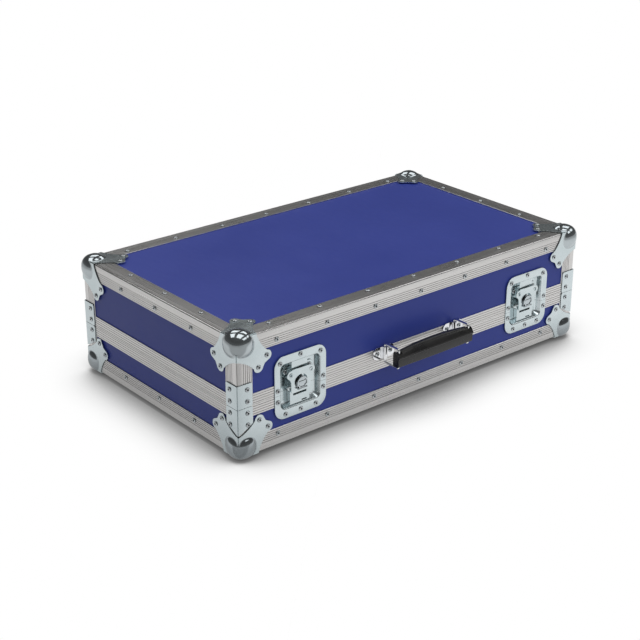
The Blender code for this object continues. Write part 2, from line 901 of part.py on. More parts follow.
def dish_half(middle, level):
    """Half of a pressed latch dish, below or above the seam."""
    place = latch_frame(middle)
    flange = rounded_rectangle(-dish_half_width, dish_half_width, dish_bottom, dish_top, dish_corner)
    tub = rounded_rectangle(-well_half_width - dish_sheet, well_half_width + dish_sheet,
                            well_bottom - dish_sheet, well_top + dish_sheet, well_corner + dish_sheet)
    well = rounded_rectangle(-well_half_width, well_half_width, well_bottom, well_top, well_corner)
    wide = dish_half_width + overrun
    if level == "base":
        other_half = (latch_seam - seam_gap / 2, dish_top + overrun)
    else:
        other_half = (dish_bottom - overrun, latch_seam + seam_gap / 2)
    rivets = new_shape()
    for across, along in dish_rivet_places()[level]:
        add_rivet(rivets, place, across, along, seat_gap + dish_sheet)
    return carved(prism_shape(flange, seat_gap, seat_gap + dish_sheet, place),
                  ("UNION", prism_shape(tub, -dish_floor_back, seat_gap + dish_sheet / 2, place)),
                  ("DIFFERENCE", prism_shape(well, -dish_depth, overrun, place)),
                  ("DIFFERENCE", box_shape(place, (-wide, wide), other_half,
                                           (-dish_floor_back - overrun, overrun))),
                  ("UNION", rivets))


def keeper_shape(place):
    """Channel plate with a window whose upper bar the hook's lip draws against."""
    back = keeper_front - keeper_sheet
    floor = seat_gap - dish_depth
    wide = keeper_half_width + overrun
    tall = (keeper_bottom - overrun, keeper_top + overrun)
    inner = keeper_half_width - keeper_leg
    slot = (keeper_slot_middle - keeper_slot_half_length, keeper_slot_middle + keeper_slot_half_length)
    return carved(box_shape(place, (-keeper_half_width, keeper_half_width), (keeper_bottom, keeper_top),
                            (floor, keeper_front)),
                  ("DIFFERENCE", box_shape(place, (-inner, inner), tall, (floor - overrun, back))),
                  ("DIFFERENCE", box_shape(place, (-wide, wide), (keeper_leg_top, keeper_top + overrun),
                                           (floor - overrun, back))),
                  ("DIFFERENCE", box_shape(place, (-window_half_width, window_half_width),
                                           (window_bottom, window_top), (back - overrun, overrun))),
                  ("DIFFERENCE", box_shape(place, slot, (keeper_slot_bottom,
                                                         keeper_slot_bottom + keeper_slot_height),
                                           (back - overrun, overrun))))


def table_shape(place):
    """Raised table that carries the hub, with two legs and riveted feet."""
    back = table_front - table_sheet
    floor = seat_gap - dish_depth
    foot_level = floor + dish_sheet
    leg = table_half_width - table_sheet
    shape = box_shape(place, (-table_half_width, table_half_width), (table_bottom, table_top),
                      (back, table_front))
    legs = new_shape()
    feet = new_shape()
    for hand in (-1, 1):
        add_box(legs, place, sorted((hand * leg, hand * table_half_width)),
                (table_leg_bottom, table_leg_top), (floor, table_front - table_sheet / 2))
        add_box(feet, place, sorted((hand * (leg + table_sheet / 2), hand * foot_half_width)),
                (foot_bottom, foot_top), (floor, foot_level))
    hole = turned_shape([(neck_radius + running_gap, back - overrun), (neck_radius + running_gap, overrun)],
                        hub_sides, moved(place, second=hub_height))
    rivets = new_shape()
    for hand in (-1, 1):
        add_rivet(rivets, place, hand * foot_rivet_half_width, (foot_bottom + foot_top) / 2, foot_level)
    return carved(shape, ("UNION", legs), ("UNION", feet), ("DIFFERENCE", hole), ("UNION", rivets))


def hook_outline():
    """Shield outline of the hook plate, from its lower end to its top edge."""
    ear = arc((hook_ear_half - hook_ear_radius, hook_ear_height), hook_ear_radius, -60, 60, edge_steps)
    half = [(hook_waist_half - hook_chamfer, hook_bottom), (hook_waist_half, hook_bottom + hook_chamfer),
            (hook_waist_half, hook_waist_height)] + ear + [(hook_top_half, hook_top)]
    return mirrored(half)


def hook_shape(place):
    """Hook plate with its round hole, its two studs and the lip behind its lower end."""
    front = hook_back + hook_sheet
    hole = turned_shape([(hook_hole_radius, hook_back - overrun), (hook_hole_radius, front + overrun)],
                        hub_sides, moved(place, second=hook_hole_height))
    lip = box_shape(place, (-lip_half_width, lip_half_width), (hook_bottom, hook_bottom + lip_sheet),
                    (hook_back - lip_reach, hook_back + hook_sheet / 2))
    steps = [("DIFFERENCE", hole), ("UNION", lip)]
    for hand in (-1, 1):
        stud = turned_shape([(rivet_crown_radius, front - hook_sheet / 2),
                             (rivet_crown_radius, front + hub_disc_thickness / 2)], rivet_sides,
                            moved(place, first=hand * hook_stud_half, second=hook_ear_height))
        steps.append(("UNION", stud))
    return carved(prism_shape(hook_outline(), hook_back, front, place), *steps)


def wing_axis_level():
    """Level of the wing's pin in front of the case face."""
    return hub_disc_bottom + hub_disc_thickness + seat_gap + wing_barrel_radius


def hub_shape(place):
    """Hub with its neck, retaining collar, front disc, two ears and the wing's pin."""
    centre = moved(place, second=hub_height)
    collar_top = table_front - table_sheet - seat_gap
    disc_top = hub_disc_bottom + hub_disc_thickness
    profile = [(collar_radius, collar_top - collar_thickness), (collar_radius, collar_top),
               (neck_radius, collar_top), (neck_radius, hub_disc_bottom),
               (hub_disc_radius, hub_disc_bottom), (hub_disc_radius, disc_top)]
    axis = wing_axis_level()
    steps = []
    inner = wing_neck_half + seat_gap
    ear = [(-wing_barrel_radius, disc_top - hub_disc_thickness / 2)]
    ear += [(wing_barrel_radius, disc_top - hub_disc_thickness / 2)]
    ear += arc((0.0, axis), wing_barrel_radius, 0, 180, edge_steps)
    side_place = moved(centre, second=-wing_pin_drop)
    for hand in (-1, 1):
        limits = sorted((hand * inner, hand * (inner + wing_ear_thickness)))
        steps.append(("UNION", prism_shape(ear, *limits, turned_axes(side_place, (2, 0, 1)))))
    pin_half = inner + wing_ear_thickness / 2
    pin_place = turned_axes(moved(side_place, third=axis), (2, 0, 1))
    steps.append(("UNION", turned_shape([(wing_pin_radius, -pin_half), (wing_pin_radius, pin_half)],
                                        rivet_sides, pin_place)))
    return carved(turned_shape(profile, hub_sides, centre), *steps)


def wing_outline(inset):
    """Outline of the wing round its pin end, narrower near the pin to clear the hub's ears."""
    head = wing_rise - wing_half_width
    tip = arc((0.0, head), wing_half_width - inset, 0, 90, wing_steps // 2)
    half = [(wing_neck_half - inset, inset), (wing_neck_half - inset, wing_shoulder),
            (wing_half_width - inset, wing_shoulder + wing_barrel_radius)]
    return mirrored(half + tip)


def wing_shape(place):
    """Folding wing with a sunken face and a barrel round its pin."""
    back = hub_disc_bottom + hub_disc_thickness + seat_gap
    front = back + wing_sheet
    axis = wing_axis_level()
    centre = moved(place, second=hub_height - wing_pin_drop)
    barrel_place = turned_axes(moved(centre, third=axis), (2, 0, 1))
    bore = wing_pin_radius + running_gap
    return carved(prism_shape(wing_outline(0.0), back, front, centre),
                  ("DIFFERENCE", prism_shape(wing_outline(wing_well_rim), front - wing_well_depth,
                                             front + overrun, centre)),
                  ("UNION", turned_shape([(wing_barrel_radius, -wing_neck_half),
                                          (wing_barrel_radius, wing_neck_half)], hinge_sides, barrel_place)),
                  ("DIFFERENCE", turned_shape([(bore, -wing_neck_half - overrun),
                                               (bore, wing_neck_half + overrun)], rivet_sides,
                                              barrel_place)))


def make_latches(lid):
    """Both latches, each from its dish halves, keeper, table, hook plate, hub and wing."""
    for side, middle in latch_middles():
        place = latch_frame(middle)
        name = f"latch_{side}"
        add_part(f"{name}_dish_lower", dish_half(middle, "base"), steel_finish)
        add_part(f"{name}_dish_upper", dish_half(middle, "lid"), steel_finish, lid)
        add_part(f"{name}_keeper", keeper_shape(place), steel_finish)
        add_part(f"{name}_table", table_shape(place), steel_finish, lid)
        add_part(f"{name}_hook", hook_shape(place), steel_finish, lid, place(0.0, hub_height, hook_back))
        hub = add_part(f"{name}_hub", hub_shape(place), steel_finish, lid, place(0.0, hub_height, 0.0))
        add_part(f"{name}_wing", wing_shape(place), steel_finish, hub,
                 place(0.0, hub_height - wing_pin_drop, wing_axis_level()))


def bracket_shape(place):
    """Handle bracket: a plate with an upright saddle over the ring's inner bar."""
    front = seat_gap + bracket_sheet
    plate = rounded_rectangle(-bracket_half_width, bracket_half_width, bracket_bottom, bracket_top,
                              bracket_corner)
    saddle = [(-saddle_half_width, seat_gap + bracket_sheet / 2),
              (saddle_half_width, seat_gap + bracket_sheet / 2)]
    saddle += arc((0.0, ring_inner), saddle_half_width, 0, 180, wing_steps)
    upright = turned_axes(place, (0, 2, 1))
    bore = ring_radius + running_gap
    bore_place = turned_axes(moved(place, third=ring_inner), (0, 2, 1))
    rivets = new_shape()
    for across in (-bracket_rivet_half, bracket_rivet_half):
        add_rivet(rivets, place, across, (bracket_bottom + bracket_top) / 2, front)
    return carved(prism_shape(plate, seat_gap, front, place),
                  ("UNION", rivets),
                  ("UNION", prism_shape(saddle, saddle_bottom, saddle_top, upright)),
                  ("DIFFERENCE", turned_shape([(bore, saddle_bottom - overrun), (bore, saddle_top + overrun)],
                                              hinge_sides, bore_place)))


def ring_shape(place):
    """Steel ring that links a bracket to an end of the grip."""
    shape = new_shape()
    path = rounded_rectangle(ring_inner, ring_outer, ring_bottom, ring_top, ring_corner, edge_steps)
    add_loop(shape, path, ring_radius, ring_sides, turned_axes(place, (2, 1, 0)))
    return shape


def grip_section(share):
    """Section of the grip, as outward distance and height, from its end (0) to its middle (1)."""
    back = grip_back - grip_back_swell * share
    foot = grip_foot - grip_sag * share
    top = grip_top + grip_crown * share
    return [(back + grip_chamfer, foot), (grip_front - grip_slope, foot),
            (grip_front, grip_ridge - grip_slope), (grip_front, grip_ridge),
            (grip_front - grip_slope, top - grip_chamfer / 2),
            (back + grip_chamfer, top), (back, top - grip_chamfer), (back, foot + grip_chamfer)]


def grip_shape(place):
    """Moulded grip, arched away from the case, with a slot and a bore for each ring."""
    shape = new_shape()
    rings = []
    for index in range(-grip_stations, grip_stations + 1):
        across = grip_half_length * index / grip_stations
        share = max(0.0, 1 - (across / grip_swell_half) ** 2)
        section = grip_section(share)
        rings.append([shape.verts.new(place(across, height, outwards)) for outwards, height in section])
    shape.faces.new(rings[0])
    shape.faces.new(list(reversed(rings[-1])))
    for ring, following in zip(rings, rings[1:]):
        for corner in range(len(ring)):
            other = (corner + 1) % len(ring)
            shape.faces.new((ring[other], ring[corner], following[corner], following[other]))
    slots = new_shape()
    bores = new_shape()
    bore = ring_radius + running_gap
    slot = mirrored([(slot_outer_half, grip_back - overrun), (slot_inner_half, ring_outer - ring_radius),
                     (slot_inner_half, slot_front)])
    for hand in (-1, 1):
        upright = turned_axes(moved(place, first=hand * bracket_spread), (0, 2, 1))
        add_prism(slots, slot, grip_top - slot_depth, grip_top + overrun, upright)
        bore_place = turned_axes(moved(place, first=hand * bracket_spread, third=ring_outer), (0, 2, 1))
        add_turned(bores, [(bore, grip_foot - overrun), (bore, grip_top + overrun)], hinge_sides, bore_place)
    return carved(shape, ("DIFFERENCE", slots), ("DIFFERENCE", bores))


def make_handle(lid):
    """Brackets, rings and grip of the handle on the front rim of the lid."""
    middle = moved(face_frame("front"), first=handle_shift, second=latch_shift)
    height = (ring_bottom + ring_top) / 2
    rings = {}
    for side, hand in (("left", -1), ("right", 1)):
        place = moved(middle, first=hand * bracket_spread)
        add_part(f"handle_bracket_{side}", bracket_shape(place), chrome_finish, lid)
        rings[side] = add_part(f"handle_ring_{side}", ring_shape(place), chrome_finish, lid,
                               place(0.0, height, ring_inner))
    add_part("handle_grip", grip_shape(middle), rubber_finish, rings["left"],
             middle(-bracket_spread, height, ring_outer))


def hinge_leaf_shape(direction):
    """One leaf of the long hinge, below (-1) or above (1) the seam, with every other knuckle."""
    place = moved(face_frame("back"), second=seam_height)
    section = turned_axes(place, (2, 1, 0))
    pin = turned_axes(moved(place, third=hinge_offset), (2, 1, 0))
    front = seat_gap + hinge_sheet
    start = knuckle_radius + knuckle_gap
    length = 2 * hinge_half_length / knuckle_count
    knuckles = new_shape()
    tabs = new_shape()
    for index in range(0 if direction < 0 else 1, knuckle_count, 2):
        low = index * length - hinge_half_length + knuckle_gap / 2
        high = low + length - knuckle_gap
        add_turned(knuckles, [(knuckle_radius, low), (knuckle_radius, high)], hinge_sides, pin)
        tab = rectangle(seat_gap, front, *sorted((0.0, direction * (start + hinge_sheet))))
        add_prism(tabs, tab, low, high, section)
    leaf = rectangle(seat_gap, front, *sorted((direction * start, direction * (hinge_leaf + start))))
    bore = hinge_pin_radius + running_gap
    reach = hinge_half_length + overrun
    rivets = new_shape()
    pitch = 2 * (hinge_half_length - hinge_rivet_end) / (hinge_rivets - 1)
    for index in range(hinge_rivets):
        across = (index - (hinge_rivets - 1) / 2) * pitch
        add_rivet(rivets, place, across, direction * (start + hinge_leaf / 2), front)
    return carved(prism_shape(leaf, -hinge_half_length, hinge_half_length, section),
                  ("UNION", tabs), ("UNION", knuckles),
                  ("DIFFERENCE", turned_shape([(bore, -reach), (bore, reach)], hinge_sides, pin)),
                  ("UNION", rivets))


def make_hinge(lid):
    """Long hinge across the back: base leaf, lid leaf and pin."""
    add_part("hinge_base_leaf", hinge_leaf_shape(-1), steel_finish)
    add_part("hinge_lid_leaf", hinge_leaf_shape(1), steel_finish, lid)
    pin = turned_axes(moved(face_frame("back"), second=seam_height, third=hinge_offset), (2, 1, 0))
    add_part("hinge_pin", turned_shape([(hinge_pin_radius, -hinge_half_length),
                                        (hinge_pin_radius, hinge_half_length)], hinge_sides, pin),
             steel_finish)


def build_case():
    """Build every piece of the case."""
    lid = start_scene()
    make_panels(lid)
    make_edges(lid)
    make_rim_frames(lid)
    make_ball_corners(lid)
    make_braces(lid)
    make_foam(lid)
    make_latches(lid)
    make_handle(lid)
    make_hinge(lid)


build_case()
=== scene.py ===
"""Looks of the flight case: finished surfaces, rounded metalwork and studio light round the fixed frame.

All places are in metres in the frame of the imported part: +X to the right along the front, +Y from the front
to the back, +Z up, with the origin under the middle of the case.
"""

import math

import bmesh
import bpy
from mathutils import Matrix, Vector


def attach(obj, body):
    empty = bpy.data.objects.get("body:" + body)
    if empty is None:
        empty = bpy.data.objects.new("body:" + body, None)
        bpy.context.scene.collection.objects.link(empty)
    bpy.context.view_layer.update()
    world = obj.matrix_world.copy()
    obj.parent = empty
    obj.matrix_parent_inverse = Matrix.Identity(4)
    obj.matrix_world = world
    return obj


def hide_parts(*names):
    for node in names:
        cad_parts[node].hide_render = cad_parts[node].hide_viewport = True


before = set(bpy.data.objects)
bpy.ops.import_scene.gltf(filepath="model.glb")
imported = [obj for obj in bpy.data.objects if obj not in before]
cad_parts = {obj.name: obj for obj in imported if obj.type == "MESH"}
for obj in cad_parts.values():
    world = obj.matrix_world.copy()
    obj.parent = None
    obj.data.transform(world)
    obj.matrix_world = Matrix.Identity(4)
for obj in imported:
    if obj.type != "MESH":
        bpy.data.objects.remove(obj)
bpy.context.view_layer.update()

# Case and its sheet metal, as in the fixed part
case_length = 0.770
case_width = 0.446
seam_height = 0.086
lid_height = 0.119
seat_gap = 0.0003
seam_gap = 0.0003
overrun = 0.004
panel_inner = 0.0108
leg_width = 0.030
leg_thickness = 0.0015
edge_radius = 0.0020
rim_height = 0.0192
rim_inner_face = 0.0123
rim_inner_thickness = 0.0012
rim_inner_height = 0.014
base_web = 0.0018
lid_web = 0.0052
tongue_inset = 0.0046
tongue_width = 0.0028
tongue_height = 0.0026
tongue_gap = 0.0008
ball_inset = 0.015
ball_radius = 0.023
ball_fillet = 0.0015
ball_fullness = 2.3
plate_inner = 0.0003
plate_outer = 0.0018
corner_cut = 0.020
lobe_far = 0.057
lobe_near = 0.0405
fold_width = 0.0011
fold_depth = 0.0012
extrusion_end = 0.011
rivet_pitch = 0.1023
rivet_inset = 0.0205
brace_width = 0.028
brace_corner = 0.003
brace_height = 0.0405

case_height = seam_height + lid_height
floor_level = ball_radius - ball_inset
top_level = floor_level + case_height
case_shift = 0.01925
front_plane = case_shift - case_width / 2
back_plane = case_shift + case_width / 2
seam_base = seam_height - seam_gap / 2
seam_lid = seam_height + seam_gap / 2

# Latches: across from their middle, above the case floor and out from the front face
latch_spread = 0.261
dish_front = seat_gap + 0.0012
well_half = 0.0395
well_low = 0.0595
well_high = 0.1363
foot_across = 0.0245
foot_height = 0.118
ear_across = 0.0205
ear_height = 0.1145
hub_height = 0.0973
hub_front = 0.0043
wing_pin_drop = 0.0085
dish_rivets = {
    "base": ((-0.031, 0.0497), (0.0, 0.0497), (0.031, 0.0497), (-0.0463, 0.0749), (0.0463, 0.0749)),
    "lid": ((-0.0463, 0.0945), (0.0463, 0.0945), (-0.041, 0.1406), (0.0, 0.1466), (0.041, 0.1406)),
}

# Handle, measured in the same way
handle_shift = -0.004
bracket_spread = 0.080
bracket_front = 0.0019
grip_half_length = 0.0855
grip_back = 0.0305
grip_top = 0.1105
ring_radius = 0.0021
ring_back = 0.0046
ring_front = 0.0385
bore_radius = 0.0025
slot_depth = 0.0035
slot_front = 0.0425
slot_inner_half = 0.0042
slot_outer_half = 0.0070

# Hinge, with its leaves measured from the seam
hinge_half = 0.330
knuckle_count = 7
leaf_near = 0.0037
leaf_far = 0.0202
leaf_front = 0.0018

# Ridges of the extrusions: distances from the outer edge, and from the seam
leg_grooves = (0.0124, 0.0160, 0.0196, 0.0232, 0.0268)
rim_grooves = (0.0026, 0.0068, 0.0110, 0.0152)
groove_width = 0.0010
groove_depth = 0.0008
shoulder_start = 0.0030
shoulder_width = 0.0018
shoulder_depth = 0.0011
corner_steps = 6

# Axis orders that carry one flange of a ball corner to the next
corner_orders = ((0, 1, 2), (2, 0, 1), (1, 2, 0))
camera_turn = math.radians(-39.54)


# Places


def face_frame(side):
    """Place function of a case side: (across, along, outwards) to a point in space."""
    half = case_length / 2
    frames = {
        "front": ((0.0, front_plane, floor_level), (1, 0, 0), (0, 0, 1), (0, -1, 0)),
        "back": ((0.0, back_plane, floor_level), (1, 0, 0), (0, 0, 1), (0, 1, 0)),
        "left": ((-half, case_shift, floor_level), (0, 1, 0), (0, 0, 1), (-1, 0, 0)),
        "right": ((half, case_shift, floor_level), (0, 1, 0), (0, 0, 1), (1, 0, 0)),
        "top": ((0.0, case_shift, top_level), (1, 0, 0), (0, 1, 0), (0, 0, 1)),
        "bottom": ((0.0, case_shift, floor_level), (1, 0, 0), (0, 1, 0), (0, 0, -1)),
    }
    origin, across, along, outwards = (Vector(entry) for entry in frames[side])

    def place(first, second, third):
        return origin + across * first + along * second + outwards * third

    return place


def corner_frame(end, side, level):
    """Place function of a case corner, from distances inwards from its three faces."""
    def place(from_end, from_side, from_level):
        height = floor_level + from_level if level == "base" else top_level - from_level
        across = end * (case_length / 2 - from_end)
        return Vector((across, case_shift + side * (case_width / 2 - from_side), height))

    return place


def case_corners():
    """Level, corner name and place function of each of the eight corners."""
    for level in ("base", "lid"):
        for side_name, side in (("front", -1), ("back", 1)):
            for end_name, end in (("left", -1), ("right", 1)):
                yield level, f"{side_name}_{end_name}", corner_frame(end, side, level)


def straight(first, second, third):
    """Place function that leaves every point where it is."""
    return Vector((first, second, third))


def moved(place, first=0.0, second=0.0, third=0.0):
    """Place function whose origin is shifted along its own axes."""
    return lambda across, along, outwards: place(across + first, along + second, outwards + third)


def turned_axes(place, order):
    """Place function whose three arguments are taken in another order."""
    return lambda *values: place(*(values[index] for index in order))


def outward(place):
    """Place function whose third axis points the other way."""
    return lambda first, second, third: place(first, second, -third)


# Outlines


def arc(centre, radius, first, last, steps):
    """Points on an arc between two angles in degrees."""
    points = []
    for index in range(steps + 1):
        angle = math.radians(first + (last - first) * index / steps)
        points.append((centre[0] + radius * math.cos(angle), centre[1] + radius * math.sin(angle)))
    return points


def bend(start, control, end, steps):
    """Points on a smooth curve that leaves start and meets end towards the control point."""
    points = []
    for index in range(steps + 1):
        share = index / steps
        rest = 1 - share
        points.append(tuple(rest * rest * a + 2 * rest * share * b + share * share * c
                            for a, b, c in zip(start, control, end)))
    return points


def rounded_rectangle(left, right, bottom, top, radius, steps=8):
    """Outline of a rectangle with round corners."""
    return (arc((right - radius, bottom + radius), radius, -90, 0, steps)
            + arc((right - radius, top - radius), radius, 0, 90, steps)
            + arc((left + radius, top - radius), radius, 90, 180, steps)
            + arc((left + radius, bottom + radius), radius, 180, 270, steps))


def rectangle(left, right, bottom, top):
    """Outline of a rectangle."""
    return [(left, bottom), (right, bottom), (right, top), (left, top)]


def mirrored(half_outline):
    """Close an outline that is given for its right half, from its foot to its top."""
    return half_outline + [(-across, along) for across, along in reversed(half_outline)]


# Mesh building


def add_prism(shape, outline, start, end, place):
    """Extrude an outline between two levels of the third axis."""
    near = [shape.verts.new(place(first, second, start)) for first, second in outline]
    far = [shape.verts.new(place(first, second, end)) for first, second in outline]
    shape.faces.new(near)
    shape.faces.new(list(reversed(far)))
    for index in range(len(outline)):
        following = (index + 1) % len(outline)
        shape.faces.new((near[following], near[index], far[index], far[following]))


def prism_shape(outline, start, end, place):
    """Shape that holds one prism."""
    shape = bmesh.new()
    add_prism(shape, outline, start, end, place)
    return shape


def box_shape(place, across, along, outwards):
    """Shape that holds one box."""
    return prism_shape(rectangle(*across, *along), outwards[0], outwards[1], place)


def add_rings(shape, rings, closed_ends=True):
    """Join rings of equal length by faces, and cap both ends."""
    if closed_ends:
        shape.faces.new(rings[0])
        shape.faces.new(list(reversed(rings[-1])))
    for lower, upper in zip(rings, rings[1:]):
        for index in range(len(lower)):
            following = (index + 1) % len(lower)
            shape.faces.new((lower[following], lower[index], upper[index], upper[following]))


def add_turned(shape, profile, sides, place):
    """Revolve (radius, level) pairs about the third axis of a place function."""
    rings = []
    for radius, level in profile:
        ring = []
        for index in range(sides):
            angle = math.tau * (index + 0.5) / sides
            ring.append(shape.verts.new(place(radius * math.cos(angle), radius * math.sin(angle), level)))
        rings.append(ring)
    add_rings(shape, rings)


def turned_shape(profile, sides, place):
    """Shape that holds one turned solid."""
    shape = bmesh.new()
    add_turned(shape, profile, sides, place)
    return shape


def mesh_of(shape):
    """Mesh of a bmesh, with its faces pointing outwards."""
    bmesh.ops.recalc_face_normals(shape, faces=shape.faces)
    mesh = bpy.data.meshes.new("shape")
    shape.to_mesh(mesh)
    shape.free()
    return mesh


def add_object(name, data):
    """New object of the scene."""
    item = bpy.data.objects.new(name, data)
    bpy.context.collection.objects.link(item)
    return item


def cut_mesh(shape, steps, materials=()):
    """Mesh of a shape after each (operation, other shape) step, whose faces keep their materials."""
    body = add_object("blank", mesh_of(shape))
    for material in materials:
        body.data.materials.append(material)
    helpers = [body]
    for operation, other in steps:
        tool = add_object("tool", mesh_of(other))
        helpers.append(tool)
        modifier = body.modifiers.new(operation, "BOOLEAN")
        modifier.operation = operation
        modifier.solver = "EXACT"
        modifier.object = tool
    graph = bpy.context.evaluated_depsgraph_get()
    result = bpy.data.meshes.new_from_object(body.evaluated_get(graph))
    for helper in helpers:
        bpy.data.objects.remove(helper)
    return result


def carved(shape, *steps):
    """Shape after each (operation, other shape) step, without needless points and edges."""
    made = bmesh.new()
    made.from_mesh(cut_mesh(shape, steps))
    bmesh.ops.remove_doubles(made, verts=made.verts, dist=0.000002)
    bmesh.ops.dissolve_limit(made, angle_limit=math.radians(0.05), verts=made.verts, edges=made.edges)
    return made


def round_edges(item, width, segments=2, angle=35):
    """Round the sharp edges of a piece, and even out its shading."""
    bevel = item.modifiers.new("rounded", "BEVEL")
    bevel.width = width
    bevel.segments = segments
    bevel.limit_method = "ANGLE"
    bevel.angle_limit = math.radians(angle)
    bevel.harden_normals = True
    bevel.miter_outer = "MITER_ARC"
    bevel.use_clamp_overlap = True


def make_piece(name, shape, body, materials, replaces=(), bevel=0.0, segments=2,
               smooth=40):
    """Finished piece of the scene: rides on a body and takes the given materials."""
    mesh = mesh_of(shape) if isinstance(shape, bmesh.types.BMesh) else shape
    mesh.name = name
    for material in materials:
        mesh.materials.append(material)
    mesh.shade_smooth()
    mesh.set_sharp_from_angle(angle=math.radians(smooth))
    item = add_object(name, mesh)
    if bevel:
        round_edges(item, bevel, segments)
    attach(item, body)
    if replaces:
        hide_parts(*replaces)
    return item


# Materials


class Tree:
    """Node tree of a material or of the world, built node by node."""

    def __init__(self, owner):
        owner.use_nodes = True
        self.nodes = owner.node_tree.nodes
        self.links = owner.node_tree.links

    def feed(self, socket, value):
        """Link a socket to another node's output, or give it a constant."""
        if isinstance(value, bpy.types.NodeSocket):
            self.links.new(value, socket)
        else:
            socket.default_value = value

    def add(self, kind, inputs=(), **settings):
        """New node with its settings, and its inputs fed by name or number."""
        node = self.nodes.new(f"ShaderNode{kind}")
        for name, value in settings.items():
            setattr(node, name, value)
        for name, value in dict(inputs).items():
            self.feed(node.inputs[name], value)
        return node

    def ranged(self, value, low, high, to_low=0.0, to_high=1.0, **settings):
        """Map a value from one range to another, kept inside it."""
        inputs = {"Value": value, "From Min": low, "From Max": high, "To Min": to_low, "To Max": to_high}
        return self.add("MapRange", inputs, **settings).outputs["Result"]

    def maths(self, operation, *values):
        """Sum, product or other operation on two values."""
        return self.add("Math", enumerate(values), operation=operation).outputs["Value"]

    def vector_maths(self, operation, *vectors):
        """Operation on one or two vectors."""
        node = self.add("VectorMath", enumerate(vectors), operation=operation)
        return node.outputs["Value" if operation in ("LENGTH", "DOT_PRODUCT") else "Vector"]

    def ramp(self, value, stops):
        """Grey that follows a value through (position, level) stops."""
        node = self.add("ValToRGB", {"Fac": value})
        elements = node.color_ramp.elements
        for position, level in stops:
            stop = elements.new(position) if 0 < position < 1 else elements[-int(position)]
            stop.color = (level, level, level, 1.0)
        return node.outputs["Color"]

    def chosen(self, factor, first, second):
        """First shader where a factor is 0, and second shader where it is 1."""
        return self.add("MixShader", enumerate((factor, first, second))).outputs["Shader"]


class Shader(Tree):
    """Material with one surface shader, placed by the object's own coordinates."""

    def __init__(self, name, colour, metallic, roughness, specular=0.5):
        self.material = bpy.data.materials.new(name)
        super().__init__(self.material)
        self.shader = self.nodes["Principled BSDF"]
        self.set("Base Color", (*colour, 1.0))
        self.set("Metallic", metallic)
        self.set("Roughness", roughness)
        self.set("Specular IOR Level", specular)
        self.place = self.add("TexCoord").outputs["Object"]

    def set(self, socket, value):
        """Feed a socket of the shader."""
        self.feed(self.shader.inputs[socket], value)

    def stretched(self, scale):
        """Object coordinates, scaled along each axis."""
        return self.add("Mapping", {"Vector": self.place, "Scale": scale}).outputs["Vector"]

    def noise(self, scale, detail, rough, vector=None, distortion=0.0):
        """Noise value from 0 to 1."""
        inputs = {"Vector": vector or self.place, "Scale": scale, "Detail": detail, "Roughness": rough,
                  "Distortion": distortion}
        return self.add("TexNoise", inputs).outputs["Fac"]

    def cells(self, scale, feature="F1"):
        """Distance to the nearest cell point or cell edge."""
        node = self.add("TexVoronoi", {"Vector": self.place, "Scale": scale}, feature=feature)
        return node.outputs["Distance"]

    def mixed(self, factor, first, second):
        """Colour between a colour or another node's output and a second colour."""
        start = first if isinstance(first, bpy.types.NodeSocket) else (*first, 1.0)
        node = self.add("Mix", {"Factor": factor, "A": start, "B": (*second, 1.0)}, data_type="RGBA")
        return node.outputs["Result"]

    def crease_shaded(self, colour, reach, dark, low, high):
        """Colour with painted shade: darker in narrow creases, by how much of its surroundings is hidden."""
        open_share = self.add("AmbientOcclusion", {"Distance": reach}, samples=16).outputs["AO"]
        return self.mixed(self.ranged(open_share, low, high, 1.0, 0.0), colour, dark)

    def bump(self, height, strength, distance):
        """Bump the surface by a height value."""
        inputs = {"Strength": strength, "Distance": distance, "Height": height}
        self.set("Normal", self.add("Bump", inputs).outputs["Normal"])


def laminate_material():
    """Satin blue laminate with a fine pebbled skin, faint clouding and light scuffs."""
    made = Shader("blue_laminate", (0.026, 0.045, 0.27), 0.0, 0.36, 0.25)
    cloud = made.noise(5.0, 4.0, 0.55)
    scuff = made.noise(60.0, 5.0, 0.7, made.stretched((1.0, 0.35, 1.0)))
    tint = made.mixed(made.ranged(cloud, 0.3, 0.7), (0.030, 0.048, 0.262), (0.034, 0.054, 0.290))
    made.set("Base Color", made.mixed(made.ranged(scuff, 0.68, 0.86, 0.0, 0.25), tint, (0.055, 0.075, 0.30)))
    made.set("Roughness", made.ranged(made.maths("ADD", cloud, scuff), 0.7, 1.4, 0.30, 0.44))
    made.bump(made.cells(900.0), 0.10, 0.0002)
    return made.material


def aluminium_material(axis):
    """Mill-finished aluminium drawn along one axis, with fine die lines, dull patches and painted shade in
    its grooves.
    """
    made = Shader(f"aluminium_{axis}", (0.66, 0.645, 0.625), 1.0, 0.34)
    along = {"x": (0.2, 110.0, 110.0), "y": (110.0, 0.2, 110.0), "z": (110.0, 110.0, 0.2)}[axis]
    lines = made.noise(3.0, 3.0, 0.55, made.stretched(along))
    patch = made.noise(9.0, 4.0, 0.6)
    stain = made.noise(28.0, 5.0, 0.65, distortion=0.6)
    tint = made.mixed(made.ranged(lines, 0.35, 0.65), (0.68, 0.67, 0.66), (0.73, 0.72, 0.71))
    stained = made.mixed(made.ranged(stain, 0.62, 0.82, 0.0, 0.12), tint, (0.58, 0.57, 0.56))
    # Painted shade: the colour turns darker in the grooves and where parts meet
    made.set("Base Color", made.crease_shaded(stained, 0.002, (0.40, 0.39, 0.38), 0.15, 0.70))
    made.set("Roughness", made.ranged(made.maths("ADD", lines, patch), 0.7, 1.3, 0.26, 0.31))
    return made.material


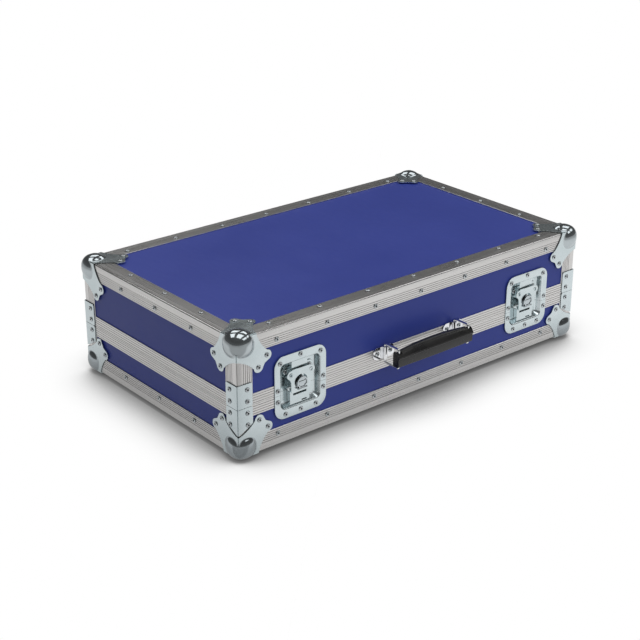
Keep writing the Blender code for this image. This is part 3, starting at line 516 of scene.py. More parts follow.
def steel_material():
    """Zinc-plated steel: cool, faintly clouded and finely scratched, with painted shade in its creases and
    round its rivets.
    """
    made = Shader("zinc_plate", (0.66, 0.73, 0.75), 1.0, 0.30)
    cloud = made.noise(26.0, 4.0, 0.6)
    spot = made.noise(210.0, 2.0, 0.6)
    scratch = made.noise(6.0, 4.0, 0.7, made.stretched((40.0, 6.0, 22.0)))
    tint = made.mixed(made.ranged(cloud, 0.35, 0.65), (0.62, 0.70, 0.72), (0.68, 0.755, 0.775))
    spotted = made.mixed(made.ranged(spot, 0.66, 0.80, 0.0, 0.15), tint, (0.52, 0.58, 0.60))
    # Painted shade: the colour turns dark in creases, at plate edges and round the rivets
    made.set("Base Color", made.crease_shaded(spotted, 0.0025, (0.17, 0.20, 0.21), 0.15, 0.75))
    made.set("Roughness", made.ranged(made.maths("ADD", cloud, scratch), 0.7, 1.35, 0.18, 0.26))
    made.bump(scratch, 0.03, 0.0002)
    return made.material


def grip_material():
    """Moulded black grip with a fine leather-like grain."""
    made = Shader("grip_moulding", (0.012, 0.012, 0.0125), 0.0, 0.36, 0.40)
    cloud = made.noise(40.0, 4.0, 0.6)
    tint = made.mixed(made.ranged(cloud, 0.3, 0.7), (0.010, 0.010, 0.0105), (0.017, 0.0165, 0.016))
    made.set("Base Color", tint)
    made.set("Roughness", made.ranged(cloud, 0.3, 0.7, 0.24, 0.34))
    made.bump(made.ranged(made.cells(620.0, "DISTANCE_TO_EDGE"), 0.0, 0.12), 0.15, 0.0001)
    return made.material


def foam_material():
    """Charcoal foam with open cells."""
    made = Shader("charcoal_foam", (0.035, 0.036, 0.040), 0.0, 0.95, 0.2)
    cells = made.cells(700.0)
    cloud = made.noise(14.0, 4.0, 0.6)
    tint = made.mixed(made.ranged(cloud, 0.3, 0.7), (0.030, 0.031, 0.034), (0.046, 0.047, 0.051))
    made.set("Base Color", made.mixed(made.ranged(cells, 0.0, 0.25, 0.6, 0.0), tint, (0.010, 0.010, 0.011)))
    made.bump(cells, 0.6, 0.0006)
    return made.material


def clouded_metal(name, colour, roughness, cloud, tones, gloss, crease_shade=None, bump=None):
    """Metal whose tone and gloss drift with one cloud pattern.

    The tones are a range of the cloud and a colour for each end of it. The gloss is a range of the cloud and
    a roughness for each end of it.
    """
    made = Shader(name, colour, 1.0, roughness)
    pattern = made.noise(*cloud)
    low, high, first, second = tones
    tint = made.mixed(made.ranged(pattern, low, high), first, second)
    # Where a crease shade is given, painted shade darkens the tone in narrow creases
    made.set("Base Color", made.crease_shaded(tint, *crease_shade) if crease_shade else tint)
    made.set("Roughness", made.ranged(pattern, *gloss))
    if bump:
        made.bump(pattern, *bump)
    return made.material


def polished_material(name, bright, dull):
    """Zinc plating, polished where the metal is pressed or turned, with painted shade in its creases."""
    # Painted shade reaches 8 mm out from each crease, as round the balls where they meet their flanges
    return clouded_metal(
        name, bright, 0.11, (45.0, 4.0, 0.6), (0.35, 0.7, bright, dull), (0.3, 0.75, 0.08, 0.16),
        crease_shade=(0.008, (0.09, 0.10, 0.11), 0.30, 0.92))


def make_finishes():
    """Finishes of the case by name, each as a tuple of one or two materials."""
    made = {axis: aluminium_material(axis) for axis in ("x", "y", "z")}
    made["laminate"] = laminate_material()
    made["steel"] = steel_material()
    made["grip"] = grip_material()
    made["foam"] = foam_material()
    made["bright"] = polished_material("polished_zinc_plate", (0.59, 0.645, 0.67), (0.53, 0.585, 0.61))
    # Darker copies of the polished plating for the balls: painted shade, darkest on the balls that the case
    # stands on
    made["lid_ball"] = polished_material("lid_ball_shaded_plate", (0.52, 0.57, 0.59), (0.47, 0.52, 0.54))
    made["base_ball"] = polished_material("base_ball_darker_shaded_plate", (0.42, 0.46, 0.48), (0.37, 0.41, 0.43))
    # Outer edges of the extrusions, burnished by handling
    made["edge"] = clouded_metal(
        "burnished_edge", (0.74, 0.735, 0.73), 0.15, (22.0, 4.0, 0.6),
        (0.3, 0.7, (0.76, 0.755, 0.75), (0.68, 0.67, 0.66)), (0.35, 0.75, 0.12, 0.22))
    # Plating of the wells' walls and lip: glossier where the sheet is drawn, painted lighter than the plain
    # plate as painted light, with faint waves
    made["drawn"] = clouded_metal(
        "drawn_zinc_plate", (0.70, 0.77, 0.79), 0.16, (38.0, 3.0, 0.5),
        (0.3, 0.7, (0.74, 0.81, 0.83), (0.66, 0.73, 0.75)), (0.3, 0.75, 0.16, 0.28), bump=(0.25, 0.0006))
    # Bright chrome plate with faint waves
    made["chrome"] = clouded_metal(
        "chrome_plate", (0.86, 0.87, 0.89), 0.07, (70.0, 3.0, 0.5),
        (0.3, 0.75, (0.88, 0.89, 0.91), (0.80, 0.81, 0.83)), (0.3, 0.75, 0.05, 0.12), bump=(0.03, 0.0003))
    # Rivet heads, each a little different, and painted shade inside their hollows
    made["rivet"] = clouded_metal(
        "rivet_plate", (0.66, 0.70, 0.72), 0.24, (120.0, 3.0, 0.6),
        (0.35, 0.7, (0.70, 0.74, 0.76), (0.52, 0.56, 0.58)), (0.3, 0.75, 0.18, 0.34))
    made["hollow"] = clouded_metal(
        "rivet_hollow_shade", (0.10, 0.11, 0.12), 0.45, (300.0, 2.0, 0.6),
        (0.35, 0.7, (0.20, 0.215, 0.225), (0.11, 0.12, 0.13)), (0.3, 0.75, 0.38, 0.55))
    finishes = {name: (material,) for name, material in made.items()}
    finishes["rivet"] += finishes.pop("hollow")
    return finishes


# Metalwork sections


def ridged(starts, width=groove_width, depth=groove_depth):
    """Points (distance, depth) over the fine grooves of an extruded face."""
    points = []
    for start in starts:
        points += [(start, 0.0), (start + width * 0.15, depth), (start + width * 0.85, depth)]
        points.append((start + width, 0.0))
    return points


def edge_outline():
    """Section of the angle extrusion, as distances inwards from its side face and its level face."""
    corner = arc((edge_radius, edge_radius), edge_radius, 180, 270, corner_steps)
    corner += ridged((shoulder_start,), shoulder_width, shoulder_depth)
    ridges = ridged(leg_grooves)
    lip = 0.0005
    first_end = [(leg_width - lip, 0.0), (leg_width, lip), (leg_width, leg_thickness)]
    second_end = [(leg_thickness, leg_width), (lip, leg_width), (0.0, leg_width - lip)]
    return (corner + ridges + first_end + [(leg_thickness, leg_thickness)] + second_end
            + [(depth, distance) for distance, depth in reversed(ridges)])


def post_outline():
    """Section of a corner post: the same angle with a fine groove along its outer edge."""
    groove = [(0.0, 0.0017), (0.0003, 0.0009), (0.0012, 0.0012), (0.0009, 0.0003), (0.0017, 0.0)]
    return groove + edge_outline()[corner_steps + 5:]


def rim_outline(level):
    """Section of a rim: inwards from the face, and height above the case floor."""
    inner = rim_inner_face - rim_inner_thickness
    lip = 0.0004
    tongue_end = tongue_inset + tongue_width
    tongue_top = seam_base + tongue_height
    if level == "base":
        low = seam_height - rim_height
        web = seam_base - base_web
        foot = seam_base - rim_inner_height
        ridges = [(depth, seam_base - distance) for distance, depth in ridged(rim_grooves)]
        return ([(leg_thickness, low), (leg_thickness, web), (inner, web), (inner, foot),
                 (rim_inner_face, foot), (rim_inner_face, seam_base), (tongue_end, seam_base),
                 (tongue_end, tongue_top), (tongue_inset, tongue_top), (tongue_inset, seam_base),
                 (lip, seam_base), (0.0, seam_base - lip)] + ridges + [(0.0, low + lip), (lip, low)])
    high = seam_height + rim_height
    web = seam_lid + lid_web
    head = web + rim_inner_height
    channel = tongue_inset - tongue_gap
    channel_end = tongue_end + tongue_gap
    roof = tongue_top + tongue_gap
    ridges = [(depth, seam_lid + distance) for distance, depth in reversed(ridged(rim_grooves))]
    return ([(channel, seam_lid), (channel, roof), (channel_end, roof), (channel_end, seam_lid),
             (rim_inner_face, seam_lid), (rim_inner_face, head), (inner, head), (inner, web),
             (leg_thickness, web), (leg_thickness, high), (lip, high), (0.0, high - lip)] + ridges
            + [(0.0, seam_lid + lip), (lip, seam_lid)])


def add_rivet(shape, place, across, along, seat):
    """Add a domed rivet head with a hollow in its middle."""
    profile = [(0.0033, -0.0004), (0.0033, 0.0003), (0.0040, 0.0004), (0.0042, 0.0007), (0.0039, 0.0012),
               (0.0032, 0.0017), (0.0025, 0.0019), (0.0020, 0.0019), (0.0017, 0.0016), (0.0015, 0.0010),
               (0.0014, 0.0001), (0.0006, 0.0001)]
    sides = 20
    hollow_start = 8
    first = len(shape.faces)
    add_turned(shape, profile, sides, moved(place, across, along, seat))
    shape.faces.ensure_lookup_table()
    for index, face in enumerate(shape.faces[first:]):
        # The floor and walls of the hollow take the second material: painted shade
        face.material_index = int(index == 1 or index >= 2 + hollow_start * sides)


def make_rivets(name, body, metals, spots):
    """Make one piece of several rivet heads, each at a (place, across, along, seat) spot."""
    shape = bmesh.new()
    for spot in spots:
        add_rivet(shape, *spot)
    make_piece(name, shape, body, metals, smooth=50)


# Shell


def dress_node(name, metal, bevel=0.0):
    """Give a node of the frame a finish, and soft edges if a width is given."""
    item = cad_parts[name]
    item.data.materials.clear()
    item.data.materials.append(metal)
    if bevel:
        weld = item.modifiers.new("weld", "WELD")
        weld.merge_threshold = 0.00001
        round_edges(item, bevel, angle=30)


def dress_panels(laminate):
    """Give the plywood panels of the frame their laminate."""
    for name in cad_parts:
        if name.endswith("_panel"):
            dress_node(name, laminate)


def make_edges(finishes):
    """Ridged angle extrusions along the floor and the top, with their rows of rivets."""
    outline = edge_outline()
    half_length = case_length / 2
    half_width = case_width / 2
    long_reach = half_length - extrusion_end
    short_reach = half_width - leg_width - seat_gap
    # End, side and grain of each extrusion, half its length, and the outer edge of its level leg
    extrusions = {
        "front": (1, -1, "x", long_reach, -half_width),
        "back": (1, 1, "x", long_reach, half_width),
        "left": (-1, -1, "y", short_reach, -half_length),
        "right": (1, -1, "y", short_reach, half_length),
    }
    for level in ("base", "lid"):
        height = rivet_inset if level == "base" else case_height - rivet_inset
        sheet = face_frame("bottom" if level == "base" else "top")
        spots = []
        for name, (end, side, grain, reach, outer) in extrusions.items():
            corner = corner_frame(end, side, level)
            if grain == "x":
                section = turned_axes(moved(corner, first=half_length), (2, 0, 1))
                count = 7
            else:
                section = turned_axes(moved(corner, second=half_width), (0, 2, 1))
                count = 3
            shape = prism_shape(outline, -reach, reach, section)
            shape.faces.ensure_lookup_table()
            for face in shape.faces[2:2 + corner_steps]:
                face.material_index = 1
            make_piece(f"{level}_{name}_extrusion", shape, level, finishes[grain] + finishes["edge"],
                       (f"{level}_edge_{name}",), smooth=25)
            inner = outer - math.copysign(rivet_inset, outer)
            for index in range(count):
                along = (index - (count - 1) / 2) * rivet_pitch
                spots.append((face_frame(name), along, height, 0.0))
                spots.append((sheet, along, inner, 0.0) if grain == "x" else (sheet, inner, along, 0.0))
        make_rivets(f"{level}_edge_rivets", level, finishes["rivet"], spots)


def well_cutter():
    """Cutters for both latch wells, with some room round the dishes."""
    shape = bmesh.new()
    room = 0.0015
    half = well_half + room
    outline = rounded_rectangle(-half, half, well_low - room, well_high + room, 0.0095)
    for middle in (-latch_spread, latch_spread):
        add_prism(shape, outline, -0.0105, overrun, moved(face_frame("front"), first=middle))
    return shape


def make_rims(finishes):
    """Tongue and channel rims round the seam, and the ridged posts at the upright corners."""
    for level in ("base", "lid"):
        ring = bmesh.new()
        sections = []
        for end, side in ((-1, -1), (1, -1), (1, 1), (-1, 1)):
            place = corner_frame(end, side, "base")
            outline = rim_outline(level)
            sections.append([ring.verts.new(place(inwards, inwards, height)) for inwards, height in outline])
        for index, section in enumerate(sections):
            following = sections[(index + 1) % len(sections)]
            for first in range(len(section)):
                second = (first + 1) % len(section)
                face = ring.faces.new((section[first], section[second], following[second], following[first]))
                face.material_index = index % 2
        shape = cut_mesh(ring, [("DIFFERENCE", well_cutter())], finishes["x"] + finishes["y"])
        make_piece(f"{level}_rim", shape, level, (), (f"{level}_rim_frame",), smooth=25)
        posts = bmesh.new()
        post_end = (seam_height if level == "base" else case_height - seam_height) - rim_height + 0.001
        for end in (-1, 1):
            for side in (-1, 1):
                place = corner_frame(end, side, level)
                add_prism(posts, post_outline(), leg_width + seat_gap, post_end, place)
        make_piece(f"{level}_corner_posts", posts, level, finishes["z"], smooth=25)


def flange_outline():
    """Outline of one ball corner flange, as distances along the two edges that it lies between."""
    lobe = arc((lobe_far, lobe_near), 0.009, -85.0, 72.0, 18)
    side_curve = bend((0.038, 0.0), (0.043, 0.018), lobe[0], 10)
    half = [(0.038, -plate_outer)] + side_curve + lobe[1:]
    other_half = [(second, first) for first, second in reversed(half)]
    return [(-plate_outer, -plate_outer)] + half + [(0.0528, 0.0528)] + other_half


def fold_cutter(corner, start, end, place):
    """Cutter for the fine groove along a fold, with the outer edge at a distance from both faces."""
    outside = corner - overrun
    near = corner + fold_width
    deep = corner + fold_depth
    outline = [(outside, outside), (near, outside), (near, corner), (deep, deep), (corner, near),
               (outside, near)]
    return prism_shape(outline, start, end, place)


def corner_wedge(start, total):
    """Everything from a corner point up to the slanted plane where the three distances add to a total."""
    shape = bmesh.new()
    reach = total - 2 * start
    corner = shape.verts.new((start, start, start))
    tips = [shape.verts.new([reach if axis == index else start for axis in range(3)]) for index in range(3)]
    shape.faces.new(tips)
    for index, tip in enumerate(tips):
        shape.faces.new((corner, tip, tips[index - 1]))
    return shape


def corner_plates():
    """Three flanges of a ball corner, joined along their folds, in distances from the three faces."""
    places = [turned_axes(straight, order) for order in corner_orders]
    plates = [prism_shape(flange_outline(), -plate_outer, -plate_inner, place) for place in places]
    steps = [("UNION", plate) for plate in plates[1:]]
    steps += [("DIFFERENCE", fold_cutter(-plate_outer, -overrun, 0.07, place)) for place in places]
    steps.append(("DIFFERENCE", corner_wedge(-overrun, corner_cut)))
    return mesh_of(carved(plates[0], *steps))


def ball_reach(first, second, third):
    """Distance from the middle of the ball to its skin, a little fuller between the axes."""
    total = abs(first) ** ball_fullness + abs(second) ** ball_fullness + abs(third) ** ball_fullness
    return ball_radius / total ** (1 / ball_fullness)


def ball_shape():
    """Outer skin of a pressed ball with a small fillet on each flange, in distances from the three faces."""
    shape = bmesh.new()
    bmesh.ops.create_uvsphere(shape, u_segments=72, v_segments=48, radius=1.0)
    for vertex in shape.verts:
        vertex.co *= ball_reach(*vertex.co)
        vertex.co += Vector((ball_inset, ball_inset, ball_inset))
    hidden = [vertex for vertex in shape.verts if min(vertex.co) > 0.004]
    bmesh.ops.delete(shape, geom=hidden, context="VERTS")
    level = ball_inset + plate_outer

    def skin(height):
        return (ball_radius ** ball_fullness - (level + height) ** ball_fullness) ** (1 / ball_fullness)

    low = skin(0.0)
    profile = bend((skin(ball_fillet), ball_fillet), (low, 0.0002), (low + ball_fillet, 0.0), 8)
    for order in corner_orders:
        place = turned_axes(straight, order)
        before = None
        for index in range(193):
            angle = math.tau * index / 192
            across, along = math.cos(angle), math.sin(angle)
            fullness = ball_reach(across, along, 0.0) / ball_radius
            points = []
            for radius, height in profile:
                reach = radius * fullness
                spot = (ball_inset + reach * across, ball_inset + reach * along)
                points.append((*spot, -plate_outer - height))
            foot = points[-1][:2]
            strip = None
            if min(foot) > -plate_outer and sum(foot) > corner_cut + plate_outer:
                strip = [shape.verts.new(place(*point)) for point in points]
            if before and strip:
                for step in range(len(profile) - 1):
                    shape.faces.new((before[step], before[step + 1], strip[step + 1], strip[step]))
            before = strip
    return mesh_of(shape)


def placed_copy(mesh, place):
    """Copy of a corner mesh, set into one corner of the case."""
    shape = bmesh.new()
    copies = [shape.verts.new(place(*vertex.co)) for vertex in mesh.vertices]
    for polygon in mesh.polygons:
        shape.faces.new([copies[index] for index in polygon.vertices])
    return shape


def make_ball_corners(finishes):
    """Pressed ball corners: flanges, ball and six rivets each."""
    plates = corner_plates()
    ball = ball_shape()
    for level, corner, place in case_corners():
        name = f"{level}_{corner}"
        make_piece(f"{name}_flanges", placed_copy(plates, place), level, finishes["steel"],
                   replaces=(f"{level}_ball_corner_{corner}",), bevel=0.0004)
        make_piece(f"{name}_ball", placed_copy(ball, place), level, finishes[f"{level}_ball"], smooth=60)
        spots = []
        for order in corner_orders:
            face = outward(turned_axes(place, order))
            spots.append((face, lobe_far, lobe_near, plate_outer))
            spots.append((face, lobe_near, lobe_far, plate_outer))
        make_rivets(f"{name}_corner_rivets", level, finishes["rivet"], spots)


def add_folded_plate(shape, half_outline, place):
    """Add an angle plate over a corner post, folded along the outer edge."""
    skins = {}
    for surface, offset in (("outer", -plate_outer), ("inner", -plate_inner)):
        for leg in (0, 1):
            points = []
            for index, (across, along) in enumerate(half_outline):
                fold = index in (0, len(half_outline) - 1)
                if fold and leg == 1:
                    points.append(skins[surface, 0][index])
                    continue
                reach = offset if fold else across
                pair = (reach, offset) if leg == 0 else (offset, reach)
                points.append(shape.verts.new(place(*pair, along)))
            skins[surface, leg] = points
            shape.faces.new(points)
    for leg in (0, 1):
        outer = skins["outer", leg]
        inner = skins["inner", leg]
        for index in range(len(outer) - 1):
            shape.faces.new((outer[index], outer[index + 1], inner[index + 1], inner[index]))


def make_braces(finishes):
    """Folded braces on both sides of the seam at the upright corners."""
    edge = brace_width - brace_corner
    foot = case_height - seam_lid
    head = foot - brace_height
    outlines = {
        "base": bend((0.0, 0.041), (0.014, 0.0475), (brace_width, 0.056), 12)
        + arc((edge, seam_base - brace_corner), brace_corner, 0, 90, 6) + [(0.0, seam_base)],
        "lid": [(0.0, head)] + arc((edge, head + brace_corner), brace_corner, -90, 0, 6)
        + arc((edge, foot - brace_corner), brace_corner, 0, 90, 6) + [(0.0, foot)],
    }
    heights = {"base": (0.0555, 0.0759), "lid": (foot - 0.010, head + 0.010)}
    for level, corner, place in case_corners():
        name = f"{level}_{corner}"
        shape = bmesh.new()
        add_folded_plate(shape, outlines[level], place)
        shape = carved(shape, ("DIFFERENCE", fold_cutter(-plate_outer, 0.0, case_height, place)))
        make_piece(f"{name}_brace", shape, level, finishes["steel"],
                   replaces=(f"{level}_corner_brace_{corner}",), bevel=0.0004)
        spots = []
        for order in ((0, 2, 1), (2, 0, 1)):
            face = outward(turned_axes(place, order))
            spots += [(face, 0.018, height, plate_outer) for height in heights[level]]
        make_rivets(f"{name}_brace_rivets", level, finishes["rivet"], spots)


# Latches


def dish_shape(place):
    """Pressed latch dish as one closed skin: from the floor of its well, over the flange, to its back."""
    flange = (0.0525, 0.042, 0.152, 0.019)
    well = (well_half, well_low, well_high, 0.008)
    # Outline, how far it is grown, and its level
    steps = [(well, -0.0056, -0.0090), (well, -0.0046, -0.0088), (well, -0.0038, -0.0082),
             (well, -0.0032, -0.0072), (well, -0.0003, dish_front - 0.0027),
             (well, 0.0001, dish_front - 0.0020), (well, 0.0004, dish_front - 0.0012),
             (well, 0.0009, dish_front - 0.0006),
             (well, 0.0016, dish_front - 0.0002), (well, 0.0026, dish_front), (flange, -0.0010, dish_front),
             (flange, -0.0003, dish_front - 0.0001), (flange, 0.0, dish_front - 0.0006),
             (flange, 0.0, seat_gap), (well, 0.0012, seat_gap), (well, 0.0012, -0.0090), (well, 0.0, -0.0102)]
    wall_steps = 8
    shape = bmesh.new()
    rings = []
    for (half, bottom, top, radius), growth, level in steps:
        side = half + growth
        outline = rounded_rectangle(-side, side, bottom - growth, top + growth, radius + growth, 10)
        rings.append([shape.verts.new(place(*point, level)) for point in outline])
    add_rings(shape, rings)
    shape.faces.ensure_lookup_table()
    # The well's walls and lip take the second material, the lighter plating: painted light
    for face in shape.faces[2:2 + wall_steps * len(rings[0])]:
        face.material_index = 1
    return shape


def table_shape(place):
    """Raised table that carries the hub, with two legs and round-ended feet."""
    front, back = -0.0014, -0.0027
    floor = -0.0087
    steps = []
    for hand in (-1, 1):
        leg = box_shape(place, sorted((hand * 0.0147, hand * 0.016)), (0.103, 0.134), (floor, -0.0020))
        steps.append(("UNION", leg))
        foot = [(0.0150, 0.110), (foot_across, 0.110)] + arc((foot_across, foot_height), 0.008, -80, 80, 16)
        foot += [(foot_across, 0.126), (0.0150, 0.126)]
        outline = [(hand * across, along) for across, along in foot]
        steps.append(("UNION", prism_shape(outline, floor, floor + 0.0013, place)))
    hole = turned_shape([(0.0054, back - overrun), (0.0054, overrun)], 48, moved(place, second=hub_height))
    steps.append(("DIFFERENCE", hole))
    plate = rounded_rectangle(-0.016, 0.016, 0.0898, 0.1360, 0.0012, 4)
    return carved(prism_shape(plate, back, front, place), *steps)


def hook_shape(place):
    """Hook plate with a round opening, two eared corners with flared holes, and its lip."""
    back, front = 0.0010, 0.0026
    ear = arc((ear_across, ear_height), 0.0075, -58, 62, 20)
    half = [(0.0175, 0.082), (0.0188, 0.0826), (0.0196, 0.0840), (0.020, 0.0855)]
    half += bend((0.020, 0.0990), (0.0200, 0.1040), ear[0], 8) + ear[1:]
    half += [(0.0190, 0.1224), (0.0180, 0.1230)]
    steps = [("UNION", box_shape(place, (-0.012, 0.012), (0.082, 0.0835), (back - 0.0019, back + 0.0008)))]

    def hole(radius, sides, spot):
        return "DIFFERENCE", turned_shape([(radius, back - overrun), (radius, front + overrun)], sides, spot)

    for hand in (-1, 1):
        spot = moved(place, first=hand * ear_across, second=ear_height)
        flare = [(0.0042, front - 0.0004), (0.0040, front + 0.0002), (0.0034, front + 0.0005),
                 (0.0020, front + 0.0005)]
        steps.append(("UNION", turned_shape(flare, 40, spot)))
        steps.append(hole(0.0024, 40, spot))
    steps.append(hole(0.0125, 64, moved(place, second=0.0993)))
    return carved(prism_shape(mirrored(half), back, front, place), *steps)


def hub_shape(place):
    """Turned hub with its neck, retaining collar, front disc, two ears and the wing's pin."""
    centre = moved(place, second=hub_height)
    axis = hub_front + seat_gap + 0.0014
    profile = [(0.0068, -0.0039), (0.0068, -0.0030), (0.0050, -0.0030), (0.0050, 0.0033), (0.0112, 0.0033),
               (0.0115, 0.0036), (0.0115, 0.0040), (0.0112, hub_front)]
    side_place = turned_axes(moved(centre, second=-wing_pin_drop), (2, 0, 1))
    ear = [(-0.0014, hub_front - 0.0005), (0.0014, hub_front - 0.0005)] + arc((0.0, axis), 0.0014, 0, 180, 16)
    steps = []
    for hand in (-1, 1):
        limits = sorted((hand * 0.0077, hand * 0.0091))
        steps.append(("UNION", prism_shape(ear, *limits, side_place)))
    pin = turned_shape([(0.0007, -0.0084), (0.0007, 0.0084)], 20, moved(side_place, second=axis))
    return carved(turned_shape(profile, 64, centre), *steps, ("UNION", pin))


def wing_outline(inset):
    """Outline of the folding wing round its pin end, narrower near the pin to clear the hub's ears."""
    tip = arc((0.0, 0.0090), 0.0105 - inset, 0, 90, 20)
    waist = 0.0074 - inset
    shoulder = (0.0105 - inset, 0.0054 + inset / 3)
    return mirrored([(waist, inset), (waist, 0.0040 + inset / 3), shoulder] + tip)


def wing_shape(place):
    """Folding wing with a sunken face, a finger ridge and a barrel round its pin."""
    back = hub_front + seat_gap
    front = back + 0.0018
    centre = moved(place, second=hub_height - wing_pin_drop)
    pin_line = turned_axes(moved(centre, third=back + 0.0014), (2, 0, 1))
    ridge = mirrored([(0.0060, 0.0102)] + arc((0.0060, 0.0111), 0.0009, -60, 90, 8))
    barrel = turned_shape([(0.0014, -0.0074), (0.0014, 0.0074)], 32, pin_line)
    bore = turned_shape([(0.0011, -0.0074 - overrun), (0.0011, 0.0074 + overrun)], 20, pin_line)
    return carved(prism_shape(wing_outline(0.0), back, front, centre),
                  ("DIFFERENCE", prism_shape(wing_outline(0.0022), front - 0.0010, front + overrun, centre)),
                  ("UNION", prism_shape(ridge, front - 0.0012, front - 0.0001, centre)),
                  ("UNION", barrel), ("DIFFERENCE", bore))


def make_latches(finishes):
    """Both latches: pressed dishes, and the working pieces inside them."""
    halves = (("base", "lower", (seam_base, 0.160)), ("lid", "upper", (0.030, seam_lid)))
    pressed = finishes["steel"] + finishes["drawn"]
    for side, middle in (("left", -latch_spread), ("right", latch_spread)):
        name = f"latch_{side}"
        place = moved(face_frame("front"), first=middle)
        for level, half, beyond in halves:
            cutter = box_shape(place, (-0.06, 0.06), beyond, (-0.015, 0.006))
            shape = cut_mesh(dish_shape(place), [("DIFFERENCE", cutter)], pressed)
            make_piece(f"{name}_{half}_pressing", shape, level, (), replaces=(f"{name}_dish_{half}",),
                       smooth=50)
            spots = [(place, *spot, dish_front) for spot in dish_rivets[level]]
            if level == "lid":
                spots += [(place, hand * foot_across, foot_height, -0.0074) for hand in (-1, 1)]
            make_rivets(f"{name}_{half}_rivets", level, finishes["rivet"], spots)
        dress_node(f"{name}_keeper", finishes["steel"][0], 0.0003)
        working = (("bridge", "table", table_shape, "lid", "steel", 0.0003),
                   ("hook_sheet", "hook", hook_shape, f"{name}_hook_plate", "steel", 0.0003),
                   ("turned_hub", "hub", hub_shape, f"{name}_hub_body", "bright", 0.0002),
                   ("butterfly", "wing", wing_shape, f"{name}_wing_body", "bright", 0.0003))
        for piece, node, shape_of, body, finish, bevel in working:
            make_piece(f"{name}_{piece}", shape_of(place), body, finishes[finish],
                       replaces=(f"{name}_{node}",), bevel=bevel)


# Handle


def grip_section(share):
    """Section of the grip with a bead along its front, from its end (0) to its middle (1)."""
    back = grip_back - 0.0015 * share
    foot = 0.0832 - 0.0006 * share
    top = grip_top + 0.0045 * share
    bead = arc((0.0453, 0.1012), 0.0012, -80, 80, 8)
    return ([(back + 0.003, foot), (0.0415, foot), (0.0432, foot + 0.0012), (0.0442, foot + 0.0035),
             (0.0447, 0.0990)] + bead
            + [(0.0445, 0.1040), (0.0425, top - 0.0030), (0.0400, top - 0.0008), (0.0375, top),
               (back + 0.003, top), (back, top - 0.003), (back, foot + 0.003)])


def grip_shape(place):
    """Moulded grip, arched away from the case, with a slot and a bore for each ring."""
    shape = bmesh.new()
    rings = []
    for index in range(-40, 41):
        across = grip_half_length * index / 40
        section = grip_section(max(0.0, 1 - (across / 0.078) ** 2))
        rings.append([shape.verts.new(place(across, height, outwards)) for outwards, height in section])
    add_rings(shape, rings)
    slots = bmesh.new()
    bores = bmesh.new()
    slot = mirrored([(slot_outer_half, grip_back - overrun), (slot_inner_half, 0.0364),
                     (slot_inner_half, slot_front)])
    for hand in (-1, 1):
        upright = turned_axes(moved(place, first=hand * bracket_spread), (0, 2, 1))
        add_prism(slots, slot, grip_top - slot_depth, grip_top + overrun, upright)
        bore = [(bore_radius, 0.0838 - overrun), (bore_radius, grip_top + overrun)]
        add_turned(bores, bore, 32, moved(upright, second=ring_front))
    return carved(shape, ("DIFFERENCE", slots), ("DIFFERENCE", bores))


def bracket_shape(place):
    """Bracket plate with a raised saddle, bored for the wire ring."""
    upright = turned_axes(place, (0, 2, 1))
    outline = rounded_rectangle(-0.024, 0.024, 0.0866, 0.1080, 0.0095, 12)
    saddle = [(-0.0044, 0.0011), (0.0044, 0.0011)] + arc((0.0, ring_back), 0.0044, 0, 180, 24)
    bore = turned_shape([(bore_radius, 0.080), (bore_radius, 0.114)], 32, moved(upright, second=ring_back))
    return carved(prism_shape(outline, seat_gap, bracket_front, place),
                  ("UNION", prism_shape(saddle, 0.0875, 0.1085, upright)), ("DIFFERENCE", bore))


def wire_shape(place):
    """Closed wire ring, bent to a rectangle through the bracket's bore and the grip's."""
    shape = bmesh.new()
    path = rounded_rectangle(ring_back, ring_front, 0.0803, 0.1140, 0.003, 8)
    wire_place = turned_axes(place, (2, 1, 0))
    rings = []
    for index, point in enumerate(path):
        before = Vector(path[index - 1])
        after = Vector(path[(index + 1) % len(path)])
        along = (after - before).normalized()
        normal = Vector((along.y, -along.x))
        ring = []
        for step in range(20):
            angle = math.tau * step / 20
            reach = Vector(point) + normal * ring_radius * math.cos(angle)
            ring.append(shape.verts.new(wire_place(reach.x, reach.y, ring_radius * math.sin(angle))))
        rings.append(ring)
    add_rings(shape, rings + [rings[0]], closed_ends=False)
    return shape


def make_handle(finishes):
    """Handle brackets, wire rings and the moulded grip."""
    middle = moved(face_frame("front"), first=handle_shift)
    for side, hand in (("left", -1), ("right", 1)):
        place = moved(middle, first=hand * bracket_spread)
        make_piece(f"handle_{side}_bracket_plate", bracket_shape(place), "lid", finishes["chrome"],
                   (f"handle_bracket_{side}",), bevel=0.0003)
        spots = [(place, across, 0.0973, bracket_front) for across in (-0.0145, 0.0145)]
        make_rivets(f"handle_{side}_bracket_rivets", "lid", finishes["rivet"], spots)
        make_piece(f"handle_{side}_wire", wire_shape(place), f"handle_ring_{side}_body", finishes["chrome"],
                   (f"handle_ring_{side}",), smooth=60)
    make_piece("handle_moulding", grip_shape(middle), "handle_grip_body", finishes["grip"],
               ("handle_grip",), bevel=0.0004, smooth=30)


# Hinge and lining


